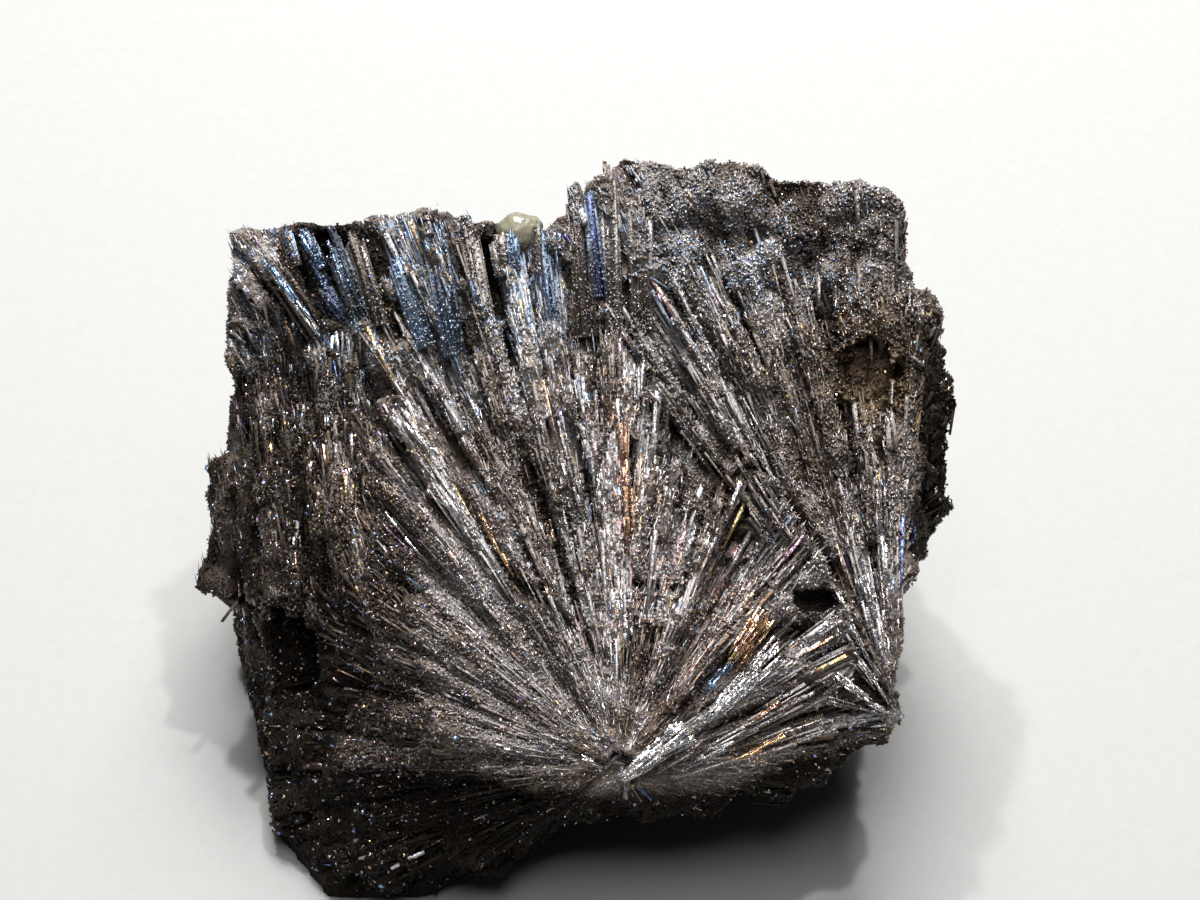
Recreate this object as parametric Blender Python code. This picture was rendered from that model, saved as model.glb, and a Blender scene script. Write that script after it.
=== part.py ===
"""Stibnite crystal cluster: a broken chunk of a radiating aggregate, with a quartz grain on its back edge.

Two sprays of metallic blades fan out across the tilted upper face. The large spray starts at the front
edge and the smaller one at the right-hand corner. The same blades run on through the chunk and end in
steps on its back and sides. The chunk stands on one flat broken face.

Lengths are in metres and +Z is up. The fan face looks towards -Y and upwards.
"""

import math
import random

import bmesh
import bpy
from mathutils import Matrix, Vector
from mathutils.bvhtree import BVHTree

MM = 0.001
UP = Vector((0, 0, 1))
WORLD_AXES = (Vector((1, 0, 0)), Vector((0, 1, 0)), UP)

# The fan face is a plane through the front focus that rises towards the back.
FAN_TILT = math.radians(35)
FRONT_FOCUS = Vector((3.4, 0.0, 15.0)) * MM
ACROSS = Vector((1, 0, 0))
UP_SLOPE = Vector((0, math.cos(FAN_TILT), math.sin(FAN_TILT)))
OUTWARD = ACROSS.cross(UP_SLOPE)

# The corner focus, in millimetres across and up the fan face from the front focus, and out of it.
CORNER = (21.6, 4.7)
CORNER_LIFT = 1.0

# How far the front spray reaches, in millimetres, at angles in degrees counted from the right.
FRONT_REACH = [
    (8, 20), (32, 22), (50, 25), (62, 33), (75, 40), (90, 46), (98, 44), (106, 44), (112, 46), (119, 46),
    (126, 45), (130, 36), (134, 27), (140, 23), (148, 19.5), (160, 17), (172, 14), (184, 10), (196, 5.5),
]
FRONT_STEP = 5.0
# The same for the corner spray, from its own focus.
CORNER_REACH = [(84, 31), (88, 35), (92, 37), (96, 36), (104, 38), (110, 40), (115, 42), (119, 41), (126, 36)]
CORNER_STEP = 5.8
SPRAY_TAPER = 0.15

# Corners of the two solid blocks under the sprays, in millimetres. A foot corner lies on the table.
LEFT_FOOT = [
    (-20.5, -2.5), (-13.2, -2.5), (-6, 3), (0, 20), (0, 40), (-12, 42), (-25, 38), (-29.4, 31), (-29.4, 21),
    (-27.4, 14.9), (-25.9, 8.6), (-25, 3.6),
]
LEFT_BODY = [
    (-11, -1.6, 2), (-4.4, 0.2, 5.6), (1.8, -0.5, 9.1), (-25, 40, 24), (-10, 42.5, 29), (0, 42.5, 29),
    (-27, 38, 10),
]
LEFT_FACE = [
    (-0.6, -1.6, -0.6), (-9.6, -0.3, -0.8), (-15, 2.6, -1), (-17.4, 9, -1), (-24.5, 29.5, -1.8),
    (-31.9, 43.4, -3), (-27.4, 44.2, -3), (-18.8, 43, -2), (-15.6, 44.6, -1.8), (-13.4, 44.8, -1.8), (0, 42.8, -1.2),
]
RIGHT_FOOT = [(3, 11), (13, 19), (22, 27), (24, 37), (12, 42), (-8, 40), (-5, 12)]
RIGHT_BODY = [
    (2.4, -0.5, 9.1), (9.8, -0.7, 9.5), (16.3, 0.9, 11), (21.8, 2.5, 13), (24.6, 2.4, 14.6), (-8, 41, 27),
    (6, 42, 30), (20, 41.5, 30), (24.5, 39, 10),
]
RIGHT_FACE = [
    (0.6, -1.4, -0.7), (-7, 1, -2.4), (-8, 37, -3), (0.6, 49.1, -1.2), (9.1, 49.2, -1.2), (20.3, 46.6, -1.6),
    (21.7, 46.6, -1.6), (23.5, 45.1, -1.8), (24.4, 40, -2), (22.6, 31, -1.4), (21.7, 13.3, -1), (21.7, 2.4, -0.8),
]
# Lower ground on both sides of the fan face: the ribbed left shoulder and the rough right flank.
SHOULDER = [
    (-28.4, 31.4, 33.2), (-28.5, 28, 29.6), (-28.2, 25.4, 26.4), (-30.2, 25.4, 20.4), (-31.2, 21, 14.8),
    (-29.2, 17.6, 14.6), (-27.2, 17.8, 17.2), (-20, 15.4, 19),
    (-14.5, 13.4, 20.2), (-15, 24, 29.5), (-20, 30, 35), (-20, 30, 12), (-25, 33, 16),
]
FLANK = [
    (23, 36, 36.6), (29.3, 32.8, 34.2), (30.8, 28.5, 27.5), (30.4, 25, 21.2), (29.9, 23.6, 17.4), (28.4, 20.8, 13.8),
    (24.4, 17, 14),
    (24.3, 15, 22), (24, 30, 9), (26.2, 37, 20),
]
# Rounded masses of fine crystals on the rough left face, then on the crown at the upper right: centre
# across, up and out of the fan face, and radius.
LUMPS = [
    (-11.7, -4.0, -7.7, 4.0), (-18.7, -5.8, -10.1, 4.0), (-20.2, 1.4, -8.9, 4.2), (-24.4, 2.9, -11.3, 3.6),
    (-20.4, 10.0, -6.1, 3.5), (-26.0, -2.8, -13.4, 3.2), (3.6, 45.6, -3.6, 3.6), (9.0, 45.0, -4.0, 4.4),
    (14.8, 43.6, -4.0, 4.2), (20.8, 43.0, -3.4, 3.0), (22.2, 38.6, -3.2, 2.6), (11.8, 40.4, -3.2, 3.3),
    (5.6, 41.2, -3.4, 3.2), (17.6, 39.0, -3.0, 2.7),
]

# Single crystals of the fan face: root across and up, tip across and up, width, and height above the face.
RIDGES = [
    (-1.4, 3.0, -18.4, 29.6, 2.2, 1.7), (-1.0, 4.4, -15.2, 31.0, 2.0, 1.1), (-2.2, 2.4, -19.6, 25.6, 1.7, 1.0),
    (-1.6, 8.0, -11.6, 33.0, 1.9, 0.9), (-1.0, 14.0, -5.4, 36.0, 1.7, 0.8), (0.3, 8.0, 0.2, 31.0, 1.3, 0.9),
    (1.8, 12.0, 4.4, 30.0, 1.6, 0.7), (3.4, 9.0, 9.4, 21.6, 1.5, 0.8), (2.4, 3.4, 7.2, 13.4, 1.5, 0.9),
    (7.0, 5.8, 13.2, 13.4, 1.8, 1.2), (1.4, 0.2, 14.4, 10.8, 1.7, 1.2), (2.6, -0.6, 18.4, 7.8, 1.4, 1.0),
    (4.4, -0.6, 17.2, 3.6, 1.5, 0.9), (-2.6, 1.6, -15.6, 12.2, 1.6, 0.8), (-3.4, 0.8, -13.6, 4.6, 1.4, 0.7),
    (-0.4, 2.2, -2.4, 9.4, 0.9, 1.0),
]
# Dark furrows between sheaves of the fan face: start and end across and up, width and depth.
FURROWS = [
    (-0.9, 5.6, -7.6, 24.4, 1.0, 1.6), (-1.8, 16.6, -4.0, 27.0, 0.9, 1.5), (-8.2, 12.4, -18.8, 24.2, 1.1, 1.6),
    (4.6, 12.0, 7.6, 17.4, 1.3, 1.5), (12.6, 29.0, 14.6, 21.6, 0.9, 1.6), (2.6, 1.2, 11.0, 11.0, 0.9, 1.2),
]

# Free blades across the open pocket at the upper left, in the same terms as the ridges.
FREE_BLADES = [
    (-21.6, 30.6, -28.6, 41.0, 1.5, 0.2), (-20.0, 31.0, -26.0, 42.6, 1.2, -0.8), (-18.8, 31.6, -23.8, 41.6, 1.3, -1.6),
    (-17.2, 32.4, -21.8, 42.4, 1.2, 0.0), (-15.6, 33.6, -18.8, 43.4, 1.4, 0.3), (-13.2, 33.0, -15.4, 44.8, 1.5, 0.4),
    (-9.6, 30.0, -12.6, 45.0, 1.3, -0.4), (-7.4, 31.0, -9.6, 42.4, 1.2, -0.9), (-4.8, 33.6, -6.6, 43.2, 1.3, 0.2),
    (-2.6, 34.4, -3.6, 47.2, 1.6, 0.6), (-0.4, 34.0, -1.2, 47.6, 1.4, 0.7), (1.8, 35.0, 1.6, 46.6, 1.5, 0.2),
]

# Ribs of the left shoulder: across, up and out of the face, at the root and at the tip.
RIBS = [
    ((-28.6, 17.0, -6.6), (-29.0, 30.4, -4.6)), ((-26.6, 14.6, -5.2), (-27.0, 32.6, -3.6)),
    ((-24.2, 14.0, -4.2), (-25.4, 33.6, -2.6)), ((-22.2, 13.6, -3.4), (-23.8, 31.0, -1.6)),
    ((-20.0, 13.4, -3.0), (-22.0, 33.4, -1.2)), ((-17.8, 13.0, -2.6), (-19.6, 27.0, -0.9)),
    ((-27.6, 13.6, -7.4), (-28.8, 23.0, -6.6)), ((-30.6, 13.4, -9.6), (-30.6, 23.4, -7.6)),
]
RIB_WIDTH = 2.5

# Crystals that stand out of the flanks: root and tip, in millimetres, and width.
SPURS = [
    ((-24, 27, 20), (-30.6, 25.6, 21.4), 3.6), ((-25, 24, 17), (-30.8, 23.4, 18.0), 3.2),
    ((-24, 24, 18), (-31.4, 21.4, 15.2), 3.4), ((-24, 22, 14), (-29.8, 19.2, 14.4), 3.0),
    ((22, 30, 24), (30.8, 28.4, 27.2), 4.0), ((22, 27, 20), (30.6, 25.2, 21.2), 3.6),
    ((21, 25, 18), (30.2, 23.4, 17.4), 3.6), ((20, 24, 14), (28.2, 20.4, 13.6), 3.2),
    ((20, 32, 30), (29.3, 33.2, 34.0), 3.6),
]

# Hollows: centre across and up, depth of the centre under the face, and the three half-widths.
HOLLOWS = [
    (-23.2, 39.6, 2.0, 4.3, 4.6, 3.8), (-18.0, 36.2, 1.6, 1.3, 3.0, 2.0), (-10.4, 39.4, 2.0, 2.5, 4.2, 2.6),
    (-2.2, 40.4, 1.4, 1.3, 5.0, 2.2), (1.4, 37.4, 1.2, 1.7, 3.2, 2.2), (19.8, 31.6, 0.6, 3.2, 2.8, 3.0),
    (15.6, 13.0, 0.6, 2.4, 1.7, 2.6), (9.4, 17.8, 0.4, 1.6, 1.2, 1.7), (-26.6, 10.6, 8.6, 3.9, 4.8, 3.2),
]

# Broken ends on the back, sides and underside, in millimetres: the spacing in front of the heart of the
# chunk and behind it, the width against the spacing, the length, and how far each stands out.
HEART = Vector((0, 21, 16)) * MM
END_FRONT_SPACING = 3.9
END_BACK_SPACING = 5.2
END_WIDTH = (0.8, 1.15)
END_LENGTH = 5
END_PROUD = (-0.2, 0.7)
END_TRIES = 3000
BEYOND = 0.1
# The share of faces kept when slivers are collapsed after joining.
KEEP_SHARE = 0.73

# The quartz grain behind the top edge, and the clearance of its socket, in millimetres.
GRAIN_CENTRE = (-4.7, 36.9, 38.7)
GRAIN_HALF = (1.9, 1.7, 1.6)
GRAIN_GAP = 0.3


def on_face(across, up, out=0.0):
    """Return the point that many millimetres across, up and out of the fan face."""
    return FRONT_FOCUS + (ACROSS * across + UP_SLOPE * up + OUTWARD * out) * MM


def polar(focus, angle, distance, out=0.0):
    """Return the point at an angle in degrees and a distance in millimetres from a focus on the face."""
    turn = math.radians(angle)
    return on_face(focus[0] + distance * math.cos(turn), focus[1] + distance * math.sin(turn), out)


def reach_at(table, angle):
    """Read a reach table between its rows."""
    for (a0, r0), (a1, r1) in zip(table, table[1:]):
        if a0 <= angle <= a1:
            return r0 + (r1 - r0) * (angle - a0) / (a1 - a0)
    return table[-1][1]


def crystal(shell, root, tip, facing, width, thick, taper=0.5, slant=0.0, point=0.0, sides=6):
    """Add one straight crystal that widens from its root; slant tilts its end and point raises it."""
    axis = tip - root
    length = axis.length
    axis.normalize()
    side = axis.cross(facing).normalized()
    facing = side.cross(axis)
    made = bmesh.ops.create_cone(
        shell, cap_ends=True, segments=sides, radius1=taper, radius2=1.0, depth=1.0)["verts"]
    top = [v for v in made if v.co.z > 0]
    for v in top:
        drop = abs(slant) * width * MM / length * (1 - math.copysign(v.co.y, slant * v.co.y))
        v.co = Vector((*(v.co.xy * (1 - (1 - taper) * drop)), v.co.z - drop))
    centre = (root + tip) / 2
    frame = Matrix((facing * thick * MM / 2, side * width * MM / 2, axis * length)).transposed().to_4x4()
    frame.translation = centre
    for v in made:
        v.co = frame @ v.co
    if point > 0:
        ends = [f for f in top[0].link_faces if all(v in top for v in f.verts)]
        bmesh.ops.poke(shell, faces=ends, offset=point * MM, center_mode="MEAN")


def hull(shell, corners):
    """Add the convex block around the given corners."""
    verts = [shell.verts.new(c) for c in corners]
    made = bmesh.ops.convex_hull(shell, input=verts)
    inside = {v for v in made["geom_interior"] + made["geom_unused"] if isinstance(v, bmesh.types.BMVert)}
    bmesh.ops.delete(shell, geom=list(inside), context="VERTS")


def add_spray(shell, rng, focus, table, step, lift):
    """Fill a fan with wedge-shaped crystals from one focus, side by side and slightly stepped."""
    angle = table[0][0] + step / 2
    while angle < table[-1][0]:
        reach = reach_at(table, angle) * rng.uniform(0.93, 1.0)
        width = 2 * math.tan(math.radians(step / 2)) * reach * 1.25
        thick = 1.6 + 0.07 * reach
        high = lift + rng.uniform(-0.3, 0.3)
        root = polar(focus, angle, rng.uniform(0.8, 3.0), high - SPRAY_TAPER * thick / 2)
        tip = polar(focus, angle + rng.uniform(-0.8, 0.8), reach, high - thick / 2)
        crystal(shell, root, tip, OUTWARD, width, thick, SPRAY_TAPER, rng.uniform(-0.3, 0.3), 0.3, 4)
        angle += step * rng.uniform(0.85, 1.1)


def add_secondary(shell, rng, focus, table, count, lift):
    """Lay narrower crystals on a spray, each over a part of its length."""
    for _ in range(count):
        angle = rng.uniform(table[0][0] + 3, table[-1][0] - 3)
        reach = reach_at(table, angle)
        start = reach * rng.uniform(0.12, 0.55)
        end = reach * rng.uniform(0.62, 0.99)
        width = rng.uniform(0.9, 1.3) + 0.022 * end
        high = lift + rng.uniform(0.1, 0.75)
        root = polar(focus, angle, start, high - 0.4 - width / 4)
        tip = polar(focus, angle + rng.uniform(-1.5, 1.5), end, high - width / 2)
        crystal(shell, root, tip, OUTWARD, width, width, 0.5, rng.uniform(-0.4, 0.4), 0.3, 4)


def add_ends(shell, rng, trunk):
    """Set stepped crystal ends all over the trunk except on the fan face and the foot."""
    tree = BVHTree.FromBMesh(trunk)
    taken = []
    for _ in range(END_TRIES):
        heading = Vector([rng.gauss(0, 1) for _ in range(3)]).normalized()
        exit_at, normal = tree.ray_cast(HEART + heading * BEYOND, -heading, BEYOND)[:2]
        spacing = (END_FRONT_SPACING if exit_at.y < HEART.y else END_BACK_SPACING) * MM
        crowded = any((exit_at - other).length < spacing for other in taken)
        depth = (FRONT_FOCUS - exit_at).dot(OUTWARD)
        on_fan = depth < 3.2 * MM or (depth < 5 * MM and normal.dot(OUTWARD) > 0)
        if crowded or on_fan or exit_at.z < 1.8 * MM:
            continue
        taken.append(exit_at)
        focus = on_face(*CORNER) if exit_at.x > 10 * MM else FRONT_FOCUS
        axis = ((exit_at - focus).normalized() + normal).normalized()
        width = spacing / MM * rng.uniform(*END_WIDTH)
        facing = Matrix.Rotation(rng.uniform(0, math.pi), 3, axis) @ axis.orthogonal().normalized()
        root = exit_at - axis * END_LENGTH * MM
        tip = exit_at + axis * rng.uniform(*END_PROUD) * MM
        crystal(shell, root, tip, facing, width, width * rng.uniform(0.6, 0.95), 0.8, rng.uniform(-0.2, 0.2),
                0.3, rng.choice((4, 5)))


def pebble(shell, rng, centre, half, axes, rough, subdivisions):
    """Add a faceted lump with three half-widths, in millimetres, along the three axes."""
    made = bmesh.ops.create_icosphere(shell, subdivisions=subdivisions, radius=1.0)["verts"]
    frame = Matrix([axis * size * MM for axis, size in zip(axes, half)]).transposed().to_4x4()
    frame.translation = centre
    for v in made:
        v.co = frame @ (v.co * rng.uniform(1 - rough, 1 + rough))


def to_object(shell, name, collection):
    """Make an object of the shell."""
    bmesh.ops.recalc_face_normals(shell, faces=shell.faces)
    mesh = bpy.data.meshes.new(name)
    shell.to_mesh(mesh)
    shell.free()
    obj = bpy.data.objects.new(name, mesh)
    collection.objects.link(obj)
    return obj


def boolean(body, tool, operation, overlapping=False):
    """Combine a body with a tool object by a Boolean modifier."""
    modifier = body.modifiers.new(tool.name, "BOOLEAN")
    modifier.operation = operation
    modifier.solver = "EXACT"
    modifier.use_self = overlapping
    modifier.object = tool


def material(name, colour, roughness, metallic):
    """Make a plain Principled material."""
    made = bpy.data.materials.new(name)
    made.use_nodes = True
    shader = made.node_tree.nodes["Principled BSDF"]
    shader.inputs["Base Color"].default_value = (*colour, 1.0)
    shader.inputs["Roughness"].default_value = roughness
    shader.inputs["Metallic"].default_value = metallic
    return made


def collection_named(name):
    """Add a collection to the scene."""
    made = bpy.data.collections.new(name)
    bpy.context.scene.collection.children.link(made)
    return made


def build_trunk(into):
    """Add the two blocks, the left shoulder and the right flank."""
    millimetres = lambda points: [Vector(p).to_3d() * MM for p in points]
    faces = lambda points: [on_face(*p) for p in points]
    hull(into, millimetres(LEFT_FOOT) + millimetres(LEFT_BODY) + faces(LEFT_FACE))
    hull(into, millimetres(RIGHT_FOOT) + millimetres(RIGHT_BODY) + faces(RIGHT_FACE))
    hull(into, millimetres(SHOULDER))
    hull(into, millimetres(FLANK))
    rng = random.Random(5)
    for *centre, radius in LUMPS:
        pebble(into, rng, on_face(*centre), [radius] * 3, (ACROSS, UP_SLOPE, OUTWARD), 0.06, 2)


def build_cluster(parts, cutters):
    """Model the stibnite chunk."""
    rng = random.Random(11)
    body = bmesh.new()
    build_trunk(body)
    trunk = body.copy()
    add_spray(body, rng, (0, 0), FRONT_REACH, FRONT_STEP, 0.3)
    add_spray(body, rng, CORNER, CORNER_REACH, CORNER_STEP, CORNER_LIFT)
    add_secondary(body, rng, (0, 0), FRONT_REACH, 26, 0.3)
    add_secondary(body, rng, CORNER, CORNER_REACH, 10, CORNER_LIFT)
    add_ends(body, rng, trunk)
    trunk.free()
    for a0, s0, a1, s1, width, high in RIDGES:
        root = on_face(a0, s0, -width / 2)
        crystal(body, root, on_face(a1, s1, high - width / 2), OUTWARD, width, width, 0.45,
                rng.uniform(-0.4, 0.4), 0.4, 4)
    for root, tip in RIBS:
        width = RIB_WIDTH * rng.uniform(0.7, 1.1)
        crystal(body, on_face(*root), on_face(*tip), OUTWARD, width, 3.0, 0.8, rng.uniform(-0.4, 0.4), 0.5, 4)
    for root, tip, width in SPURS:
        crystal(body, Vector(root) * MM, Vector(tip) * MM, UP, width, width * 0.8, 0.8, rng.uniform(-0.3, 0.3), 0.4)
    cluster = to_object(body, "stibnite_cluster", parts)

    cuts = bmesh.new()
    for across, up, depth, *half in HOLLOWS:
        pebble(cuts, rng, on_face(across, up, -depth), half, (ACROSS, UP_SLOPE, OUTWARD), 0.12, 1)
    for a0, s0, a1, s1, width, depth in FURROWS:
        crystal(cuts, on_face(a0, s0, 1.6), on_face(a1, s1, 1.6), OUTWARD, width * 2, (1.6 + depth) * 2, 0.8,
                sides=4)
    bmesh.ops.create_cube(cuts, size=0.2, matrix=Matrix.Translation((0, 0, -0.1)))
    boolean(cluster, to_object(cuts, "hollows", cutters), "DIFFERENCE", True)

    for number, (a0, s0, a1, s1, width, high) in enumerate(FREE_BLADES):
        blade = bmesh.new()
        crystal(blade, on_face(a0, s0, high - width), on_face(a1, s1, high - width / 2), OUTWARD, width, width,
                0.9, rng.uniform(-0.4, 0.4), 0.4, 4)
        boolean(cluster, to_object(blade, f"free_blade_{number}", cutters), "UNION")
    socket = bmesh.new()
    half = [size + GRAIN_GAP for size in GRAIN_HALF]
    pebble(socket, random.Random(3), Vector(GRAIN_CENTRE) * MM, half, WORLD_AXES, 0.08, 2)
    boolean(cluster, to_object(socket, "grain_socket", cutters), "DIFFERENCE")
    return cluster


def build_grain(parts):
    """Model the quartz grain as one rounded, faceted piece."""
    grain = bmesh.new()
    pebble(grain, random.Random(3), Vector(GRAIN_CENTRE) * MM, GRAIN_HALF, WORLD_AXES, 0.08, 2)
    return to_object(grain, "quartz_grain", parts)


def drop_chips(shell):
    """Keep the largest piece of the shell and delete loose chips."""
    pieces = []
    waiting = set(shell.verts)
    while waiting:
        piece = [waiting.pop()]
        for vert in piece:
            fresh = {edge.other_vert(vert) for edge in vert.link_edges} & waiting
            waiting -= fresh
            piece.extend(fresh)
        pieces.append(piece)
    pieces.sort(key=len)
    for piece in pieces[:-1]:
        bmesh.ops.delete(shell, geom=piece, context="VERTS")


def settle(cluster, grain):
    """Fix the modifiers, tidy the surface, and put the middle of the base at the origin."""
    thin = cluster.modifiers.new("slivers", "DECIMATE")
    thin.ratio = KEEP_SHARE
    graph = bpy.context.evaluated_depsgraph_get()
    finished = bpy.data.meshes.new_from_object(cluster.evaluated_get(graph))
    cluster.modifiers.clear()
    shell = bmesh.new()
    shell.from_mesh(finished)
    drop_chips(shell)
    bmesh.ops.holes_fill(shell, edges=[e for e in shell.edges if len(e.link_faces) == 1])
    bmesh.ops.triangulate(shell, faces=shell.faces)
    shell.to_mesh(finished)
    shell.free()
    cluster.data = finished
    low = Vector([min(v.co[axis] for v in finished.vertices) for axis in range(3)])
    high = Vector([max(v.co[axis] for v in finished.vertices) for axis in range(3)])
    middle = (low + high) / 2
    shift = Matrix.Translation((-middle.x, -middle.y, -low.z))
    for obj in (cluster, grain):
        obj.data.transform(shift)


def main():
    for obj in list(bpy.data.objects):
        bpy.data.objects.remove(obj)
    parts = collection_named("stibnite_crystal_cluster")
    cutters = collection_named("cutters")
    cluster = build_cluster(parts, cutters)
    grain = build_grain(parts)
    for obj in cutters.objects:
        obj.hide_render = True
        obj.display_type = "WIRE"
    settle(cluster, grain)
    cluster.data.materials.append(material("stibnite", (0.12, 0.11, 0.105), 0.38, 0.85))
    grain.data.materials.append(material("quartz", (0.62, 0.56, 0.42), 0.3, 0.0))


main()
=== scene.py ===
# %% [markdown]
# # A stibnite crystal cluster
# Stibnite grows as long metal-grey blades, often side by side in fans that start from one point. This
# lesson dresses the plain solid of one broken chunk. Two fans meet on its tilted upper face, and the ends
# of the same blades make its rough back and sides. A small pale quartz grain sits on the back edge.
#
# The first cell loads the solid.

import math

import bmesh
import bpy
import numpy as np
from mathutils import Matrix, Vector
from mathutils.bvhtree import BVHTree


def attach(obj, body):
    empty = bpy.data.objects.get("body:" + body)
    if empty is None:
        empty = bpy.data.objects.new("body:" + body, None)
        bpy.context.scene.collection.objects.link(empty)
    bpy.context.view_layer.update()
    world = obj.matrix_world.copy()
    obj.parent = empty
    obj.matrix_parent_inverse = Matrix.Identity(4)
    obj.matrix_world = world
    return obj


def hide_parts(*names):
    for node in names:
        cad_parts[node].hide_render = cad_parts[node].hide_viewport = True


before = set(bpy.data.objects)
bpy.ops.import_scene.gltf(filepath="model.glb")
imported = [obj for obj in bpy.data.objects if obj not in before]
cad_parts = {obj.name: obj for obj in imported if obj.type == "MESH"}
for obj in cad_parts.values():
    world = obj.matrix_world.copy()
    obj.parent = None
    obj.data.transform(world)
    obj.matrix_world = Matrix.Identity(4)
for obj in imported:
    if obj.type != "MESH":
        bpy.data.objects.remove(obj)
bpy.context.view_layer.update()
MM = 0.001

# %% [markdown]
# ## Where the fans are
# The fan face is a plane that rises towards the back. Places on it are given in millimetres across it, up
# it and out of it, counted from the point at the front edge where the large fan starts. The smaller fan
# starts at the right-hand corner. A slanted line from that corner parts the two fans.

# %% The fan face
FAN_TILT = math.radians(35)
ACROSS = np.array((1.0, 0.0, 0.0))
UP_SLOPE = np.array((0.0, math.cos(FAN_TILT), math.sin(FAN_TILT)))
OUTWARD = np.cross(ACROSS, UP_SLOPE)
# The start of the large fan in the part, and the start of the small one on the fan face, in millimetres.
FRONT_FOCUS = np.array((2.78, -20.244, 15.0))
CORNER_PLACE = (21.6, 4.7, 1.0)


def from_fan(places):
    """Turn places across, up and out of the fan face into points of the part, in millimetres."""
    return FRONT_FOCUS + np.asarray(places, float) @ np.array((ACROSS, UP_SLOPE, OUTWARD))


def to_fan(points):
    """Turn points of the part into places across, up and out of the fan face."""
    return (points - FRONT_FOCUS) @ np.array((ACROSS, UP_SLOPE, OUTWARD)).T


CORNER_FOCUS = from_fan(CORNER_PLACE)
print("fans start at", FRONT_FOCUS.round(1), "and", CORNER_FOCUS.round(1))

# %% [markdown]
# ## Chance, but the same each time
# A crystal mass is full of small differences. A seeded random source gives the same ones on every run.
# Smooth noise makes values that drift from place to place, so that neighbours resemble each other.

# %% Random source and smooth noise
SEED = 27
# Large numbers without common factors, which mix the bits of a cell's place.
PLACE_MIXERS = (73856093, 19349663, 83492791)
SEED_MIXER = 961748941
BIT_MIXERS = ((13, 1274126177), (15, 668265263))
LOW_BITS = 0x7FFFFFFF
HALF_RANGE = 0x3FFFFFFF

chance = np.random.default_rng(SEED)


def unit(vectors):
    """Scale each vector to length one."""
    return vectors / np.maximum(np.linalg.norm(vectors, axis=-1, keepdims=True), 1e-9)


def scrambled(cells, seed):
    """Return a value from -1 to 1 for each row of three whole numbers, always the same for the same row."""
    mixed = (np.asarray(cells).astype(np.int64) * PLACE_MIXERS).sum(axis=1) + seed * SEED_MIXER
    for shift, mixer in BIT_MIXERS:
        mixed = ((mixed ^ (mixed >> shift)) * mixer) & LOW_BITS
    return mixed / HALF_RANGE - 1


def drift(points, size, seed):
    """Return smooth values from -1 to 1 that change over about the given size."""
    place = points / size
    corner = np.floor(place).astype(np.int64)
    inside = place - corner
    inside = inside * inside * (3 - 2 * inside)
    total = np.zeros(len(points))
    for step in np.ndindex(2, 2, 2):
        share = np.where(step, inside, 1 - inside).prod(axis=1)
        total += share * scrambled(corner + step, seed)
    return total


def between(low, high, count):
    """Draw that many values between two limits."""
    return chance.uniform(low, high, count)


half_steps = np.column_stack((np.arange(0, 2, 0.5), np.zeros((4, 2))))
print("smooth noise in steps of half its size:", drift(half_steps, 1, 1).round(2))

# %% [markdown]
# ## How the fibres run
# Every blade points away from the place where its fan started, so the direction at any point is easy to
# find. The left shoulder is different: its fibres stand more upright, and they are blended in there.

# %% Fibre directions
# The angles in degrees where the small fan begins and ends. Its end turns as one goes out from the corner.
CORNER_START = 20.0
CORNER_EDGE = (113.0, 126.0)
CORNER_EDGE_REACH = (8.0, 36.0)
# Added to the angles in the small fan, so that no rib of one fan goes on in the other.
CORNER_TURN = 400
# Where the upright fibres set in and where they are complete: across, and up from below and from above.
SHOULDER_EDGE = (-17.0, -23.0)
SHOULDER_FROM_BELOW = (10.0, 15.0)
SHOULDER_FROM_ABOVE = (36.0, 31.0)
UPRIGHT_PULL = 1.6
OUTWARD_LOSS = 0.8


def ramp(values, start, end):
    """Rise smoothly from 0 at the start to 1 at the end."""
    share = np.clip((values - start) / (end - start), 0, 1)
    return share * share * (3 - 2 * share)


def in_corner_fan(points):
    """Say which points belong to the smaller fan at the right."""
    across, up, _ = (to_fan(points) - CORNER_PLACE).T
    lead = np.degrees(np.arctan2(up, across))
    turned = ramp(np.hypot(across, up), *CORNER_EDGE_REACH)
    edge = CORNER_EDGE[0] + (CORNER_EDGE[1] - CORNER_EDGE[0]) * turned
    return (lead > CORNER_START) & (lead < edge)


def around_focus(points):
    """Return each point's angle round the start of its fan, in degrees, and its distance from it."""
    places = to_fan(points)
    corner = in_corner_fan(points)
    away = places - np.where(corner[:, None], CORNER_PLACE, (0.0, 0.0, 0.0))
    angle = np.degrees(np.arctan2(away[:, 1], away[:, 0])) + CORNER_TURN * corner
    return angle, np.linalg.norm(away, axis=1)


def upright_share(points):
    """Return how far each point belongs to the upright fibres of the left shoulder."""
    across, up, _ = to_fan(points).T
    return ramp(across, *SHOULDER_EDGE) * ramp(up, *SHOULDER_FROM_BELOW) * ramp(up, *SHOULDER_FROM_ABOVE)


def fibre_direction(points):
    """Return the direction in which the blades grew at each point."""
    focus = np.where(in_corner_fan(points)[:, None], CORNER_FOCUS, FRONT_FOCUS)
    away = unit(points - focus)
    upright = UP_SLOPE * UPRIGHT_PULL - away * OUTWARD_LOSS
    return unit(away + upright * upright_share(points)[:, None])


print("fibres 20 mm up the large fan run along", fibre_direction(from_fan([(0, 20, 0)])).round(2))

# %% [markdown]
# ## Ribs and cracks
# The blades hold together in sheaves, so the fan face is ribbed, and narrow dark cracks part one sheaf from
# the next. The relief is noise in angle and distance, which makes it run along the fibres. A crack lies
# where one such noise passes through zero.

# %% Relief of the fan face
# Each size of rib: its width in degrees, its length and its height in millimetres, and its noise.
RIBS = ((7.0, 16.0, 0.8, 40), (3.0, 12.0, 0.3, 41))
RIBS_START = (1.0, 12.0)
CRACK_DEPTH = 1.3
CRACK_SHARE = 0.12
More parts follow.
